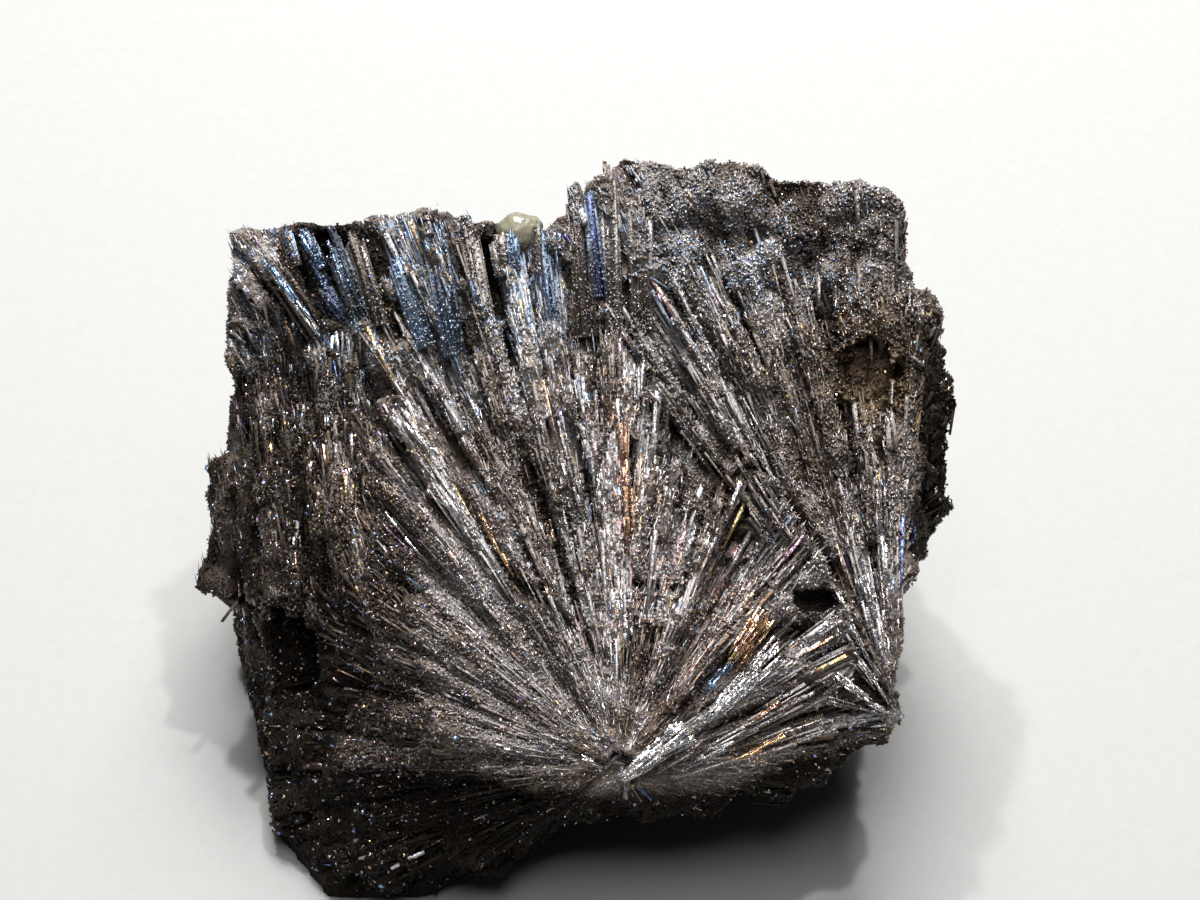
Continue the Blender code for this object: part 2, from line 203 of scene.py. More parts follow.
# The width in degrees, the length in millimetres and the noise of the cracks, and of the gaps in them.
CRACK_LINES = (6.0, 22.0, 50)
CRACK_GAPS = (9.0, 6.0, 51)
CRACKS_START = (4.0, 9.0)


def rib_noise(angle, distance, degrees, reach, seed):
    """Return noise that changes over some degrees and is drawn out along the fibres."""
    return drift(np.column_stack((angle / degrees, distance / reach, np.zeros(len(angle)))), 1.0, seed)


def ribs_and_cracks(points):
    """Return the rib height at each point, in millimetres, and how far it is inside a crack."""
    angle, distance = around_focus(points)
    height = sum(size * rib_noise(angle, distance, degrees, reach, seed)
                 for degrees, reach, size, seed in RIBS)
    line = np.abs(rib_noise(angle, distance, *CRACK_LINES))
    broken = ramp(rib_noise(angle, distance, *CRACK_GAPS), -0.1, 0.3)
    crack = ramp(line, CRACK_SHARE, CRACK_SHARE * 0.3) * broken * ramp(distance, *CRACKS_START)
    return height * ramp(distance, *RIBS_START), crack


print("highest rib in mm:", sum(size for _, _, size, _ in RIBS))

# %% [markdown]
# ## Planks
# Within a sheaf the blades have grown together side by side into planks, one to three millimetres wide, with
# grooves between them. A fan gets wider outwards, so each plank splits in two again and again. Each one
# keeps its own height, its own roll and its own tone, and ends in a step where it broke. Some are sandy,
# which means that they carry grains instead of blades.

# %% Planks
PLANK_DEGREES = 12.0
PLANK_START = 7.0
PLANK_LENGTH = 12.0
PLANK_STEP = 0.4
PLANK_ROLL = 0.9
GROOVE_DEPTH = 1.0
# Where a groove begins and is deepest, as shares of a plank's width, and how sure it is to be there.
GROOVE_EDGE = (0.28, 0.47)
GROOVE_CHANCE = (-0.9, 0.4)
SANDY_CHANCE = (-0.4, 0.4)
# The upright fibres have planks too. Their angle is worked out from the place across, and has this start.
COLUMN_TURN = 900
COLUMN_DEGREES = 1.5
COLUMN_START = 30


def planks(points):
    """Return each point's height on its plank and depth in a groove, and the plank's tone and sandiness."""
    angle, distance = around_focus(points)
    across, up, _ = to_fan(points).T
    upright = upright_share(points) > 0.5
    angle = np.where(upright, COLUMN_TURN + COLUMN_DEGREES * across, angle)
    distance = np.where(upright, COLUMN_START + up, distance)
    bend = rib_noise(angle, distance, 25.0, 14.0, 70)
    reach = np.clip(distance * (1 + 0.3 * bend), PLANK_START, 7.9 * PLANK_START)
    level = np.floor(np.log2(reach / PLANK_START))
    place = (angle + 1.5 * bend) / PLANK_DEGREES * 2**level
    place += 0.5 * drift(np.column_stack((place, level * 7, level)), 1.6, 71)
    cell = np.floor(place)
    middle = place - cell - 0.5
    lot = np.column_stack((cell, level, np.zeros(len(points))))
    lot[:, 2] = np.floor(distance / PLANK_LENGTH + scrambled(lot, 72))
    border = np.column_stack((cell + (middle > 0), level, lot[:, 2]))
    groove = ramp(np.abs(middle), *GROOVE_EDGE) * ramp(scrambled(border, 73), *GROOVE_CHANCE)
    height = PLANK_STEP * scrambled(lot, 74) + PLANK_ROLL * scrambled(lot, 75) * middle
    near = ramp(distance, 3, 9)
    tone = 0.5 + 0.5 * scrambled(lot, 76)
    return height * near, groove * GROOVE_DEPTH * near, tone, ramp(scrambled(lot, 77), *SANDY_CHANCE)


print("planks split in two at about these distances in mm:", [PLANK_START * 2, PLANK_START * 4])

# %% [markdown]
# ## Furrows
# A few long dark furrows part the main sheaves, and where planks broke off there are short steps across
# the fibres. They are placed one by one, each as a line on the fan face with a depth and half a width.

# %% Furrows
# Start and end, each across and up, then the depth and half the width.
FURROWS = [
    ((-0.6, 3.4), (-7.6, 25.7), 1.5, 0.55), ((-1.6, 16.6), (-3.5, 26.6), 2.0, 0.50),
    ((-9.5, 16.1), (-1.3, 8.4), 1.2, 0.90), ((-19.2, 31.0), (-15.4, 25.4), 1.4, 0.40),
    ((-17.5, 31.6), (-9.6, 20.3), 1.0, 0.70), ((12.8, 31.0), (14.9, 22.4), 1.5, 0.40),
    ((11.9, 24.2), (17.9, 14.1), 1.3, 0.60), ((2.0, 29.3), (12.4, 18.1), 1.0, 0.80),
    ((7.5, 41.1), (11.7, 31.8), 1.0, 0.50), ((-1.8, 40.6), (1.0, 35.0), 1.8, 0.80),
    ((-0.6, 14.7), (5.6, 14.2), 1.2, 0.50), ((1.6, 10.0), (5.6, 10.0), 1.0, 0.50),
    ((-18.7, 20.9), (-15.1, 16.3), 1.1, 0.40), ((-15.0, 6.1), (-1.6, 0.2), 0.8, 0.50),
    ((3.2, 14.5), (1.6, 5.3), 0.9, 0.35), ((6.4, 19.7), (4.1, 10.1), 1.0, 0.45),
    ((15.5, 6.9), (6.3, 2.6), 1.1, 0.50), ((17.5, 13.3), (20.6, 5.8), 1.0, 0.35),
    ((18.4, 26.9), (19.8, 16.5), 0.9, 0.40), ((-9.2, 35.0), (-8.6, 31.6), 1.8, 0.50),
]


def in_furrow(points):
    """Return how deep the furrows are at each point, in millimetres."""
    flat = to_fan(points)[:, :2]
    depth = np.zeros(len(points))
    for start, end, deepest, half in FURROWS:
        line = np.subtract(end, start)
        along = np.clip((flat - start) @ line / (line @ line), 0, 1)
        away = np.linalg.norm(flat - start - along[:, None] * line, axis=1)
        shallow_ends = 1 - 0.6 * np.abs(2 * along - 1) ** 3
        depth = np.maximum(depth, deepest * ramp(away, half, 0.3 * half) * shallow_ends)
    return depth


print("furrows:", len(FURROWS))

# %% [markdown]
# ## Hollows
# Crystals grew into open pockets, and some of these are still there. Long blades don't bridge them, and
# only grains line them. Each is an ellipsoid, and the first function says how far inside one a point lies.
# Some are too deep in the plain solid, so the second one raises their floors. In the same way it fills a
# notch between the two fans, so that the blades at the corner lie on something.

# %% Hollows
# How far out the rim of a hollow reaches, in half-widths.
HOLLOW_RIM = 1.25
# Centre across, up and out, then the three half-widths and how far the scene raises the floor.
HOLLOWS = [
    (-23.2, 39.6, -2.0, 4.3, 4.6, 3.8, 0.0), (-18.0, 36.2, -1.6, 1.3, 3.0, 2.0, 0.0),
    (-10.4, 39.4, -2.0, 2.5, 4.2, 2.6, 0.0), (-2.2, 40.4, -1.4, 1.3, 5.0, 2.2, 0.0),
    (1.4, 37.4, -1.2, 1.7, 3.2, 2.2, 0.0), (19.8, 31.6, -0.6, 3.2, 2.8, 3.0, 2.3),
    (15.6, 13.0, -0.6, 2.4, 1.7, 2.6, 0.8), (9.4, 17.8, -0.4, 1.6, 1.2, 1.7, 0.4),
    (-26.6, 10.6, -8.6, 3.9, 4.8, 3.2, 1.8),
]
NOTCH = (19.9, 6.4, 0.0, 2.0, 1.9, 3.2, 3.6)


def in_hollow(points):
    """Return how far inside a hollow each point is, from 0 to 1."""
    places = to_fan(points)
    return np.max([ramp(np.linalg.norm((places - shape[:3]) / shape[3:], axis=1), HOLLOW_RIM, 1.0)
                   for *shape, _ in HOLLOWS], axis=0)


def raised_floor(points):
    """Return how far each point has to move outwards to raise the floors of the hollows, in millimetres."""
    places = to_fan(points)
    rise = np.zeros(len(points))
    for *shape, raised in (*HOLLOWS, NOTCH):
        bottom = shape[2] - shape[5]
        away = np.linalg.norm((places[:, :2] - shape[:2]) / shape[3:5], axis=1)
        share = ramp(away, HOLLOW_RIM, 0.6) * ramp(places[:, 2], bottom - 1.2, bottom - 0.4)
        rise = np.maximum(rise, share * np.clip(bottom + raised - places[:, 2], 0, raised))
    return rise


print("hollows:", len(HOLLOWS), "with a raised floor:", sum(row[-1] > 0 for row in HOLLOWS))

# %% [markdown]
# ## Lumps, dents and shifts
# The outer sides bulge and draw in more than the plain solid does. Each lump or dent is a rounded place
# that moves the surface along its own normal. That does little for a thin edge or the tip of a spur, so
# such places are shifted sideways instead.

# %% Lumps, dents and shifts
# Centre across, up and out, then the three half-widths and the push, outwards or inwards.
LUMPS = [
    (-32.6, 26.8, -5.5, 3.2, 2.4, 7.0, -1.9), (-33.2, 30.6, -5.0, 3.0, 3.4, 5.0, -1.1),
    (-34.6, 20.6, -9.5, 2.4, 2.6, 4.0, -0.5), (-34.2, 15.4, -11.0, 2.6, 2.4, 3.0, 1.4),
    (-33.6, 27.4, -9.5, 3.0, 1.5, 4.5, -1.4), (25.4, 14.2, 0.2, 2.6, 1.8, 3.2, -1.6),
    (24.4, 3.2, -4.2, 3.0, 3.4, 3.6, -1.9), (25.6, 39.4, -0.5, 2.8, 3.4, 3.0, -1.5),
    (28.9, 28.0, -6.6, 3.0, 2.6, 5.0, -1.7), (27.4, 33.4, -4.7, 2.4, 2.2, 4.0, -1.0),
    (27.4, 22.3, -10.8, 2.0, 1.4, 3.0, 0.8), (25.6, 15.4, -10.5, 3.0, 3.0, 5.0, -1.9),
    (24.2, 9.0, -3.2, 3.0, 8.5, 5.0, -2.4), (18.2, 33.4, -1.3, 1.3, 1.1, 1.6, 1.0),
    (-33.6, 37.0, -2.0, 2.4, 3.0, 4.0, 0.5), (-33.4, 32.6, -4.5, 2.4, 2.4, 4.0, 0.5),
    (-31.6, 43.2, -1.4, 3.0, 2.6, 3.6, 1.0), (20.0, 31.4, 1.0, 5.4, 4.6, 2.6, -0.9),
    (28.6, 37.0, -3.0, 3.0, 4.0, 4.0, -0.7), (-22.4, 32.0, 0.4, 1.7, 2.7, 1.6, -0.8),
    (-17.9, 35.9, 0.0, 1.4, 2.7, 2.2, -2.3),
]
# The same for the shifts, to the right or to the left.
SHIFTS = [
    (24.2, 13.6, 0.0, 2.8, 3.6, 3.6, -1.8), (23.6, 5.0, -2.8, 2.6, 5.4, 4.8, -1.9),
    (-33.2, 27.6, -8.5, 3.0, 1.7, 6.0, 2.2), (24.6, 41.2, -1.0, 2.8, 1.5, 3.4, -0.9),
    (25.8, 37.2, -0.4, 2.6, 1.7, 3.0, -1.0), (-34.0, 25.2, -9.0, 2.4, 1.5, 4.0, -0.8),
    (-34.6, 16.2, -10.8, 2.6, 1.7, 3.0, -0.6),
]


def pushed(points, shapes):
    """Return how far rounded shapes push each point, in millimetres."""
    places = to_fan(points)
    return sum(ramp(np.linalg.norm((places - shape[:3]) / shape[3:], axis=1), 1.0, 0.2) * amount
               for *shape, amount in shapes)


print("lumps and dents:", len(LUMPS), "shifts:", len(SHIFTS))

# %% [markdown]
# ## The mass behind the crystals
# A closed body lies under all the fine crystals and fills the gaps between them. It is the plain solid
# itself, remeshed into small even faces, which a later cell pushes in and out. The remeshing leaves a few
# tiny loose bits in narrow gaps, and these are removed.

# %% Remesh the mass
# The size of the faces in millimetres, and an island with fewer corners than this is a loose bit.
MASS_VOXEL = 0.4
FEWEST_CORNERS = 200


def evaluated_copy(source, name, voxel):
    """Copy a mesh object, remesh the copy and apply the result."""
    copy = bpy.data.objects.new(name, source.data.copy())
    bpy.context.scene.collection.objects.link(copy)
    remesh = copy.modifiers.new("even faces", "REMESH")
    remesh.mode = "VOXEL"
    remesh.voxel_size = voxel * MM
    done = bpy.data.meshes.new_from_object(copy.evaluated_get(bpy.context.evaluated_depsgraph_get()))
    copy.modifiers.clear()
    copy.data = done
    return copy


def drop_specks(mesh, fewest):
    """Remove loose islands with fewer corners than that, which the remeshing leaves behind."""
    shape = bmesh.new()
    shape.from_mesh(mesh)
    seen, specks = set(), []
    for start in shape.verts:
        if start in seen:
            continue
        island, border = {start}, [start]
        while border:
            corner = border.pop()
            for edge in corner.link_edges:
                other = edge.other_vert(corner)
                if other not in island:
                    island.add(other)
                    border.append(other)
        seen |= island
        if len(island) < fewest:
            specks += island
    bmesh.ops.delete(shape, geom=specks, context="VERTS")
    shape.to_mesh(mesh)
    shape.free()
    print("corners of loose specks removed:", len(specks))


mass = evaluated_copy(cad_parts["stibnite_cluster"], "stibnite_mass", MASS_VOXEL)
drop_specks(mass.data, FEWEST_CORNERS)

# %% [markdown]
# The corners will move along their normals. On a faceted solid these jump at every edge, which would break
# the relief into steps. So each normal is averaged with its neighbours a few times.

# %% Smooth the normals
SMOOTHING_PASSES = 4


def read_vectors(items, field, count):
    """Read one vector field of a mesh into an array."""
    values = np.zeros(count * 3, np.float32)
    items.foreach_get(field, values)
    return values.reshape(count, 3).astype(float)


count = len(mass.data.vertices)
plain = read_vectors(mass.data.vertices, "co", count) / MM
normals = read_vectors(mass.data.vertex_normals, "vector", count)
edges = np.zeros(len(mass.data.edges) * 2, np.int32)
mass.data.edges.foreach_get("vertices", edges)
edges = edges.reshape(-1, 2)
neighbours = np.bincount(edges.ravel(), minlength=count)[:, None]
for _ in range(SMOOTHING_PASSES):
    around = np.zeros((count, 3))
    np.add.at(around, edges[:, 0], normals[edges[:, 1]])
    np.add.at(around, edges[:, 1], normals[edges[:, 0]])
    normals = unit(normals + around / neighbours)
print("mass corners:", count)

# %% [markdown]
# ## Druse, lumps and sand
# The fan face isn't bladed all over. The crown at the upper right and the left edge are druse, a lumpy crust
# of small crystals. At the lower left of the large fan, sand hides the planks. These functions say how far a
# point belongs to each, and both the shape and the colours use them.

# %% Kinds of surface
# The sizes and heights of the lumps in the druse, in millimetres.
ROUGH_SIZES = (5.0, 2.4, 1.2)
ROUGH_HEIGHTS = (0.7, 0.8, 0.5)
# How far across the slanted left edge moves for each millimetre up, and between which heights.
LEFT_SLANT = 0.33
LEFT_SLANT_FROM = 16
LEFT_SLANT_HEIGHT = 12
# The sand ends at a long furrow, which falls this much for each millimetre across and starts that high.
SAND_SLOPE = 0.94
SAND_HEIGHT = 7.2


def left_lead(points):
    """Return how far across each point is, counted so that the slanted left edge is at about -16."""
    across, up, _ = to_fan(points).T
    return across + LEFT_SLANT * np.clip(up - LEFT_SLANT_FROM, 0, LEFT_SLANT_HEIGHT)


def lumpy_share(points):
    """Return how far each point is lumpy druse instead of blades, at the crown and at the left edge."""
    across, up, _ = to_fan(points).T
    at_crown = ramp(up, 35.5, 39.5) * ramp(across, 1.0, 4.0)
    at_left = ramp(left_lead(points), -15.5, -18.5) * ramp(up, 35, 31)
    return np.maximum(at_crown, at_left)


def lumpy_relief(points):
    """Return the height of the lumps at each point; at the left they are drawn out upwards."""
    places = to_fan(points)
    places[:, 1] = (places[:, 1] - 20) * (1 - 0.55 * ramp(places[:, 0], -5, -15))
    return sum(height * drift(places, size, 80 + step)
               for step, (size, height) in enumerate(zip(ROUGH_SIZES, ROUGH_HEIGHTS)))


def sandy_left(points):
    """Return how far each point is on the lower left of the fan, where sand hides the planks."""
    across, up, _ = to_fan(points).T
    below_furrow = ramp(up + SAND_SLOPE * across - SAND_HEIGHT, 0.5, -1.5)
    return below_furrow * ramp(left_lead(points), -19, -16) * ramp(np.hypot(across, up), 3, 6)


print("share of the mass that is lumpy druse:", lumpy_share(plain).mean().round(2))

# %% [markdown]
# ## Push the mass into shape
# Now each corner of the mass moves along its smoothed normal: in ribs, planks and cracks on the fan face, in
# lumps where it is druse, and in grains everywhere. The foot stays flat, and the quartz grain keeps its room.
# The mass isn't shaded smooth, so each small face catches the light by itself.

# %% Shape of the mass
GRAIN_DEPTH = 0.2
# How much of the ribs and planks, and of the grooves and cracks, the sand and the lumps take away.
SAND_OVER_RIBS = 0.35
SAND_OVER_CRACKS = 0.8
LUMPS_OVER_RIBS = 0.6
FLAT_FOOT = (0.3, 2.0)
QUARTZ_CLEAR = (2.6, 4.0)

rib, crack = ribs_and_cracks(plain)
plank, groove, tone, _ = planks(plain)
groove = np.maximum(groove, in_furrow(plain))
grains = drift(plain, 1.4, 5) + 0.8 * drift(plain, 0.7, 6)
facing_out = ramp(normals @ OUTWARD, 0.4, 0.8)
hollow = in_hollow(plain)
lumpy = lumpy_share(plain)
rough = lumpy_relief(plain)
ridged = facing_out * (1 - hollow) * (1 - LUMPS_OVER_RIBS * lumpy)
sanded = sandy_left(plain)
carved = (groove + CRACK_DEPTH * crack) * (1 - SAND_OVER_CRACKS * sanded)
relief = (rib + plank) * (1 - SAND_OVER_RIBS * sanded) - carved
push = relief * ridged + rough * (1 - facing_out * (1 - lumpy))
push += GRAIN_DEPTH * grains + pushed(plain, LUMPS)
quartz_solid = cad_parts["quartz_grain"].data.vertices
quartz_centre = (read_vectors(quartz_solid, "co", len(quartz_solid)) / MM).mean(axis=0)
quartz_distance = np.linalg.norm(plain - quartz_centre, axis=1)
push *= ramp(plain[:, 2], *FLAT_FOOT) * ramp(quartz_distance, *QUARTZ_CLEAR)
massed = plain + normals * push[:, None] + OUTWARD * raised_floor(plain)[:, None]
massed += ACROSS * pushed(plain, SHIFTS)[:, None]
mass.data.vertices.foreach_set("co", (massed * MM).astype(np.float32).ravel())
mass.data.update()
print("mass faces:", len(mass.data.polygons), "push in mm:", push.min().round(2), push.max().round(2))

# %% [markdown]
# ## One recipe for tens of thousands of crystals
# Modelling each crystal by hand would take years. Instead, one function takes arrays of roots, tips and
# widths, and writes all the corners at once. A blade is a flat four-sided prism that widens from its root
# and ends in a slanted break. A grain is a small pointed chip, and a splinter is a long thin one.

# %% Shapes of the crystals
# The six faces of a blade and the four of a grain, by their corners.
BLADE_FACES = [(0, 1, 5, 4), (1, 2, 6, 5), (2, 3, 7, 6), (3, 0, 4, 7), (3, 2, 1, 0), (4, 5, 6, 7)]
GRAIN_FACES = [(0, 1, 3), (1, 2, 3), (2, 0, 3), (2, 1, 0)]
# How slanted the ends of blades are, and how much of a blade the slant may take.
END_SLANT = 0.35
LONGEST_SLANT = 0.6
# Moves the fine lines from crystal to crystal, so that no two have the same.
STRIPE_OFFSET = 50


def ring(root, tip, facing, width, thick, turn, sides):
    """Return the corner offsets of each crystal's cross-section."""
    axis = unit(tip - root)
    side = unit(np.cross(axis, facing))
    upper = np.cross(side, axis)
    angles = turn[:, None] + (np.arange(sides) + 0.5) * 2 * math.pi / sides
    high = np.cos(angles)[:, :, None] * (upper * thick[:, None])[:, None]
    wide = np.sin(angles)[:, :, None] * (side * width[:, None])[:, None]
    return (high + wide) * math.sqrt(0.5)


def blade_arrays(crystals):
    """Write the corners and faces of four-sided blades with slanted ends."""
    root, tip, width = crystals["root"], crystals["tip"], crystals["width"]
    total = len(root)
    offsets = ring(root, tip, crystals["facing"], width, crystals["thick"], crystals["turn"], 4)
    low = root[:, None] + offsets * crystals["taper"][:, None, None]
    high = tip[:, None] + offsets
    length = np.linalg.norm(tip - root, axis=1)
    slope = between(-1, 1, (total, 2))
    cut = slope[:, :1] * np.array((1, -1, -1, 1)) + slope[:, 1:] * np.array((1, 1, -1, -1))
    cut = (cut - cut.min(axis=1, keepdims=True)) * (width / length * END_SLANT)[:, None]
    high = high + (low - high) * np.clip(cut, 0, LONGEST_SLANT)[:, :, None]
    corners = np.concatenate((low, high), axis=1).reshape(-1, 3)
    faces = (np.arange(total)[:, None, None] * 8 + np.array(BLADE_FACES)).reshape(-1, 4)
    across = np.array([(k, k + 1, k + 1, k) for k in range(4)] + [(0, 0, 0, 0)] * 2)
    along = np.array([(0, 0, 1, 1)] * 4 + [(0, 0, 0, 0), (1, 1, 1, 1)])
    stripes = np.empty((total, 6, 4, 3))
    stripes[..., 0] = across * width[:, None, None]
    stripes[..., 1] = along * length[:, None, None]
    stripes[..., 2] = crystals["own"][:, None, None] * STRIPE_OFFSET
    return corners, faces, 6, stripes.reshape(-1, 3)


def grain_arrays(crystals):
    """Write the corners and faces of pointed chips and needles with four faces."""
    root, tip = crystals["root"], crystals["tip"]
    total = len(root)
    offsets = ring(root, tip, crystals["facing"], crystals["width"], crystals["thick"], crystals["turn"], 3)
    corners = np.concatenate((root[:, None] + offsets, tip[:, None]), axis=1).reshape(-1, 3)
    faces = (np.arange(total)[:, None, None] * 4 + np.array(GRAIN_FACES)).reshape(-1, 3)
    stripes = np.zeros((total, 4, 3, 3))
    stripes[..., 2] = crystals["own"][:, None, None] * STRIPE_OFFSET
    return corners, faces, 4, stripes.reshape(-1, 3)


print("faces of a blade:", len(BLADE_FACES), "and of a grain:", len(GRAIN_FACES))

# %% [markdown]
# A whole population goes into one mesh, because thousands of separate objects would be slow. Each crystal
# also keeps three numbers for the finish: its own number, partly random, which sets its brightness and
# carries the painted shade; the thickness of the tarnish film that colours it; and its lustre, which is low
# where the face is weathered or dusty.

# %% One mesh for many crystals
# No crystal reaches lower than this over the ground, in millimetres.
FOOT = 0.03
FINISH_NUMBERS = ("own", "film", "lustre")


def grow(name, crystals, arrays, finish):
    """Make one mesh piece of many crystals and let it ride on the chunk."""
    corners, faces, per_crystal, stripes = arrays(crystals)
    corners[:, 2] = np.maximum(corners[:, 2], FOOT)
    mesh = bpy.data.meshes.new(name)
    sides = faces.shape[1]
    mesh.vertices.add(len(corners))
    mesh.loops.add(faces.size)
    mesh.polygons.add(len(faces))
    mesh.vertices.foreach_set("co", (corners * MM).astype(np.float32).ravel())
    mesh.loops.foreach_set("vertex_index", faces.astype(np.int32).ravel())
    mesh.polygons.foreach_set("loop_start", np.arange(0, faces.size, sides, dtype=np.int32))
    mesh.update(calc_edges=True)
    for label in FINISH_NUMBERS:
        layer = mesh.attributes.new(label, "FLOAT", "FACE")
        layer.data.foreach_set("value", np.repeat(crystals[label], per_crystal).astype(np.float32))
    layer = mesh.attributes.new("stripes", "FLOAT_VECTOR", "CORNER")
    layer.data.foreach_set("vector", stripes.astype(np.float32).ravel())
    piece = bpy.data.objects.new(name, mesh)
    bpy.context.scene.collection.objects.link(piece)
    mesh.materials.append(finish)
    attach(piece, "root")
    triangles = len(faces) * (sides - 2)
    print(f"{name}: {len(crystals['root'])} crystals, {triangles} triangles")


print("numbers that each crystal keeps:", FINISH_NUMBERS)

# %% [markdown]
# ## Finishes made of small steps
# A finish that several pieces share is built once as a node group. Each group puts out one thing, such as
# a height, a normal, a mask or a colour. The shader itself stays in the material. A few helpers keep the
# node code short.

# %% Node helpers


def feed(tree, socket, value):
    """Link a socket to another one, or set it to a value."""
    if isinstance(value, bpy.types.NodeSocket):
        tree.links.new(value, socket)
    else:
        socket.default_value = value


def add(tree, kind, inputs=None, **settings):
    """Add a node; an input is a value, or a socket to link."""
    made = tree.nodes.new("ShaderNode" + kind)
    for field, value in settings.items():
        setattr(made, field, value)
    for key, value in (inputs or {}).items():
        feed(tree, made.inputs[key], value)
    return made


def new_group(name, takes, gives):
    """Start a node group with named input and output sockets."""
    group = bpy.data.node_groups.new(name, "ShaderNodeTree")
    for label, (kind, value) in takes.items():
        socket = group.interface.new_socket(label, in_out="INPUT", socket_type="NodeSocket" + kind)
        if value is not None:
            socket.default_value = value
    for label, kind in gives.items():
        group.interface.new_socket(label, in_out="OUTPUT", socket_type="NodeSocket" + kind)
    return group, group.nodes.new("NodeGroupInput").outputs, group.nodes.new("NodeGroupOutput").inputs


def use(tree, group, inputs):
    """Place a node group in a material and set its inputs."""
    return add(tree, "Group", inputs, node_tree=group).outputs


def blend_colours(tree, share, first, second, mode="MIX"):
    """Mix two colours and return the result."""
    mixed = add(tree, "Mix", data_type="RGBA", blend_type=mode)
    for spot, value in ((0, share), (6, first), (7, second)):
        feed(tree, mixed.inputs[spot], value)
    return mixed.outputs[2]


print("node groups so far:", len(bpy.data.node_groups))

# %% [markdown]
# The first group makes the fine lines along every blade. It stretches noise along the blade, by the places
# across and along its faces that each crystal kept.

# %% Fine lines
striation, taken, given = new_group(
    "lengthwise_lines", {"Stripes": ("Vector", None), "Fineness": ("Float", 8.0)}, {"Height": "Float"})
stretch = add(striation, "CombineXYZ", {"X": taken["Fineness"], "Y": 0.35, "Z": 1.0})
lines = add(striation, "VectorMath", {0: taken["Stripes"], 1: stretch.outputs[0]}, operation="MULTIPLY")
noise = add(striation, "TexNoise", {
    "Vector": lines.outputs[0], "Scale": 1.0, "Detail": 4.0, "Roughness": 0.7})
striation.links.new(noise.outputs["Fac"], given["Height"])
print("fine lines:", len(striation.nodes), "nodes")

# %% [markdown]
# The second group breaks a surface into tiny facets. Each cell of a Voronoi pattern tilts the surface its
# own way, so that some cells flash and their neighbours stay dark. That is what makes a druse glitter.

# %% Glittering facets
glitter, taken, given = new_group(
    "tilted_facets", {"Size": ("Float", 0.2), "Tilt": ("Float", 0.5)},
    {"Normal": "Vector", "Cell": "Float"})
place = add(glitter, "TexCoord").outputs["Object"]
scale = add(glitter, "Math", {0: 1000.0, 1: taken["Size"]}, operation="DIVIDE")
cells = add(glitter, "TexVoronoi", {"Vector": place, "Scale": scale.outputs[0]})
centred = add(glitter, "VectorMath", {0: cells.outputs["Color"], 1: (0.5, 0.5, 0.5)}, operation="SUBTRACT")
tilted = add(glitter, "VectorMath", {0: centred.outputs[0], "Scale": taken["Tilt"]}, operation="SCALE")
level = add(glitter, "NewGeometry").outputs["Normal"]
leaned = add(glitter, "VectorMath", {0: tilted.outputs[0], 1: level})
straight = add(glitter, "VectorMath", {0: leaned.outputs[0]}, operation="NORMALIZE")
glitter.links.new(straight.outputs[0], given["Normal"])
glitter.links.new(add(glitter, "SeparateColor", {0: cells.outputs["Color"]}).outputs[0], given["Cell"])
print("facets:", len(glitter.nodes), "nodes")

# %% [markdown]
# The third group is the tarnish. Old stibnite carries a film so thin that it shows interference colours:
# gold, copper and rose, then violet, blue and slate as it thickens. Bare faces are steel grey to brown.
# The colour follows the film of the crystal, and a few facets, which "Rare" gives the share of, have a
# thicker one of their own.

# %% Tarnish colours
# The thickness of the film, from 0 to 1, and the colour that it gives.
FILM_COLOURS = [
    (0.00, (0.95, 0.95, 0.97)), (0.12, (0.78, 0.78, 0.80)), (0.25, (0.56, 0.535, 0.55)),
    (0.38, (0.38, 0.345, 0.33)), (0.48, (0.34, 0.23, 0.15)), (0.55, (0.84, 0.64, 0.30)),
    (0.60, (0.92, 0.50, 0.24)), (0.65, (0.92, 0.62, 0.46)), (0.76, (0.62, 0.36, 0.58)),
    (0.83, (0.14, 0.18, 0.50)), (0.89, (0.28, 0.50, 0.85)), (0.95, (0.35, 0.50, 0.74)),
    (1.00, (0.42, 0.54, 0.70)),
]
tarnish, taken, given = new_group(
    "tarnish_film", {"Film": ("Float", 0.3), "Cell": ("Float", 0.5), "Rare": ("Float", 0.06)},
    {"Color": "Color"})
shift = add(tarnish, "Math", {0: taken["Cell"], 1: 0.5}, operation="SUBTRACT")
scaled = add(tarnish, "Math", {0: shift.outputs[0], 1: 0.08, 2: taken["Film"]}, operation="MULTIPLY_ADD")
limit = add(tarnish, "Math", {0: 1.0, 1: taken["Rare"]}, operation="SUBTRACT")
chosen = add(tarnish, "Math", {0: taken["Cell"], 1: limit.outputs[0]}, operation="GREATER_THAN")
within = add(tarnish, "MapRange", {"Value": taken["Cell"], "From Min": limit.outputs[0], "To Min": 0.5})
varied = add(tarnish, "Mix", {0: chosen.outputs[0], 2: scaled.outputs[0], 3: within.outputs[0]})
film_ramp = add(tarnish, "ValToRGB", {0: varied.outputs[0]})
stops = film_ramp.color_ramp.elements
for spot, (at, colour) in enumerate(FILM_COLOURS):
    stop = stops[spot] if spot < 2 else stops.new(at)
    stop.position, stop.color = at, (*colour, 1.0)
tarnish.links.new(film_ramp.outputs["Color"], given["Color"])
print("tarnish:", len(FILM_COLOURS), "colours")

# %% [markdown]
# The fourth group is the weathering: patches of dull brown dust that lie in the rough places. It gives a
# mask, which darkens the colour and takes away the shine.

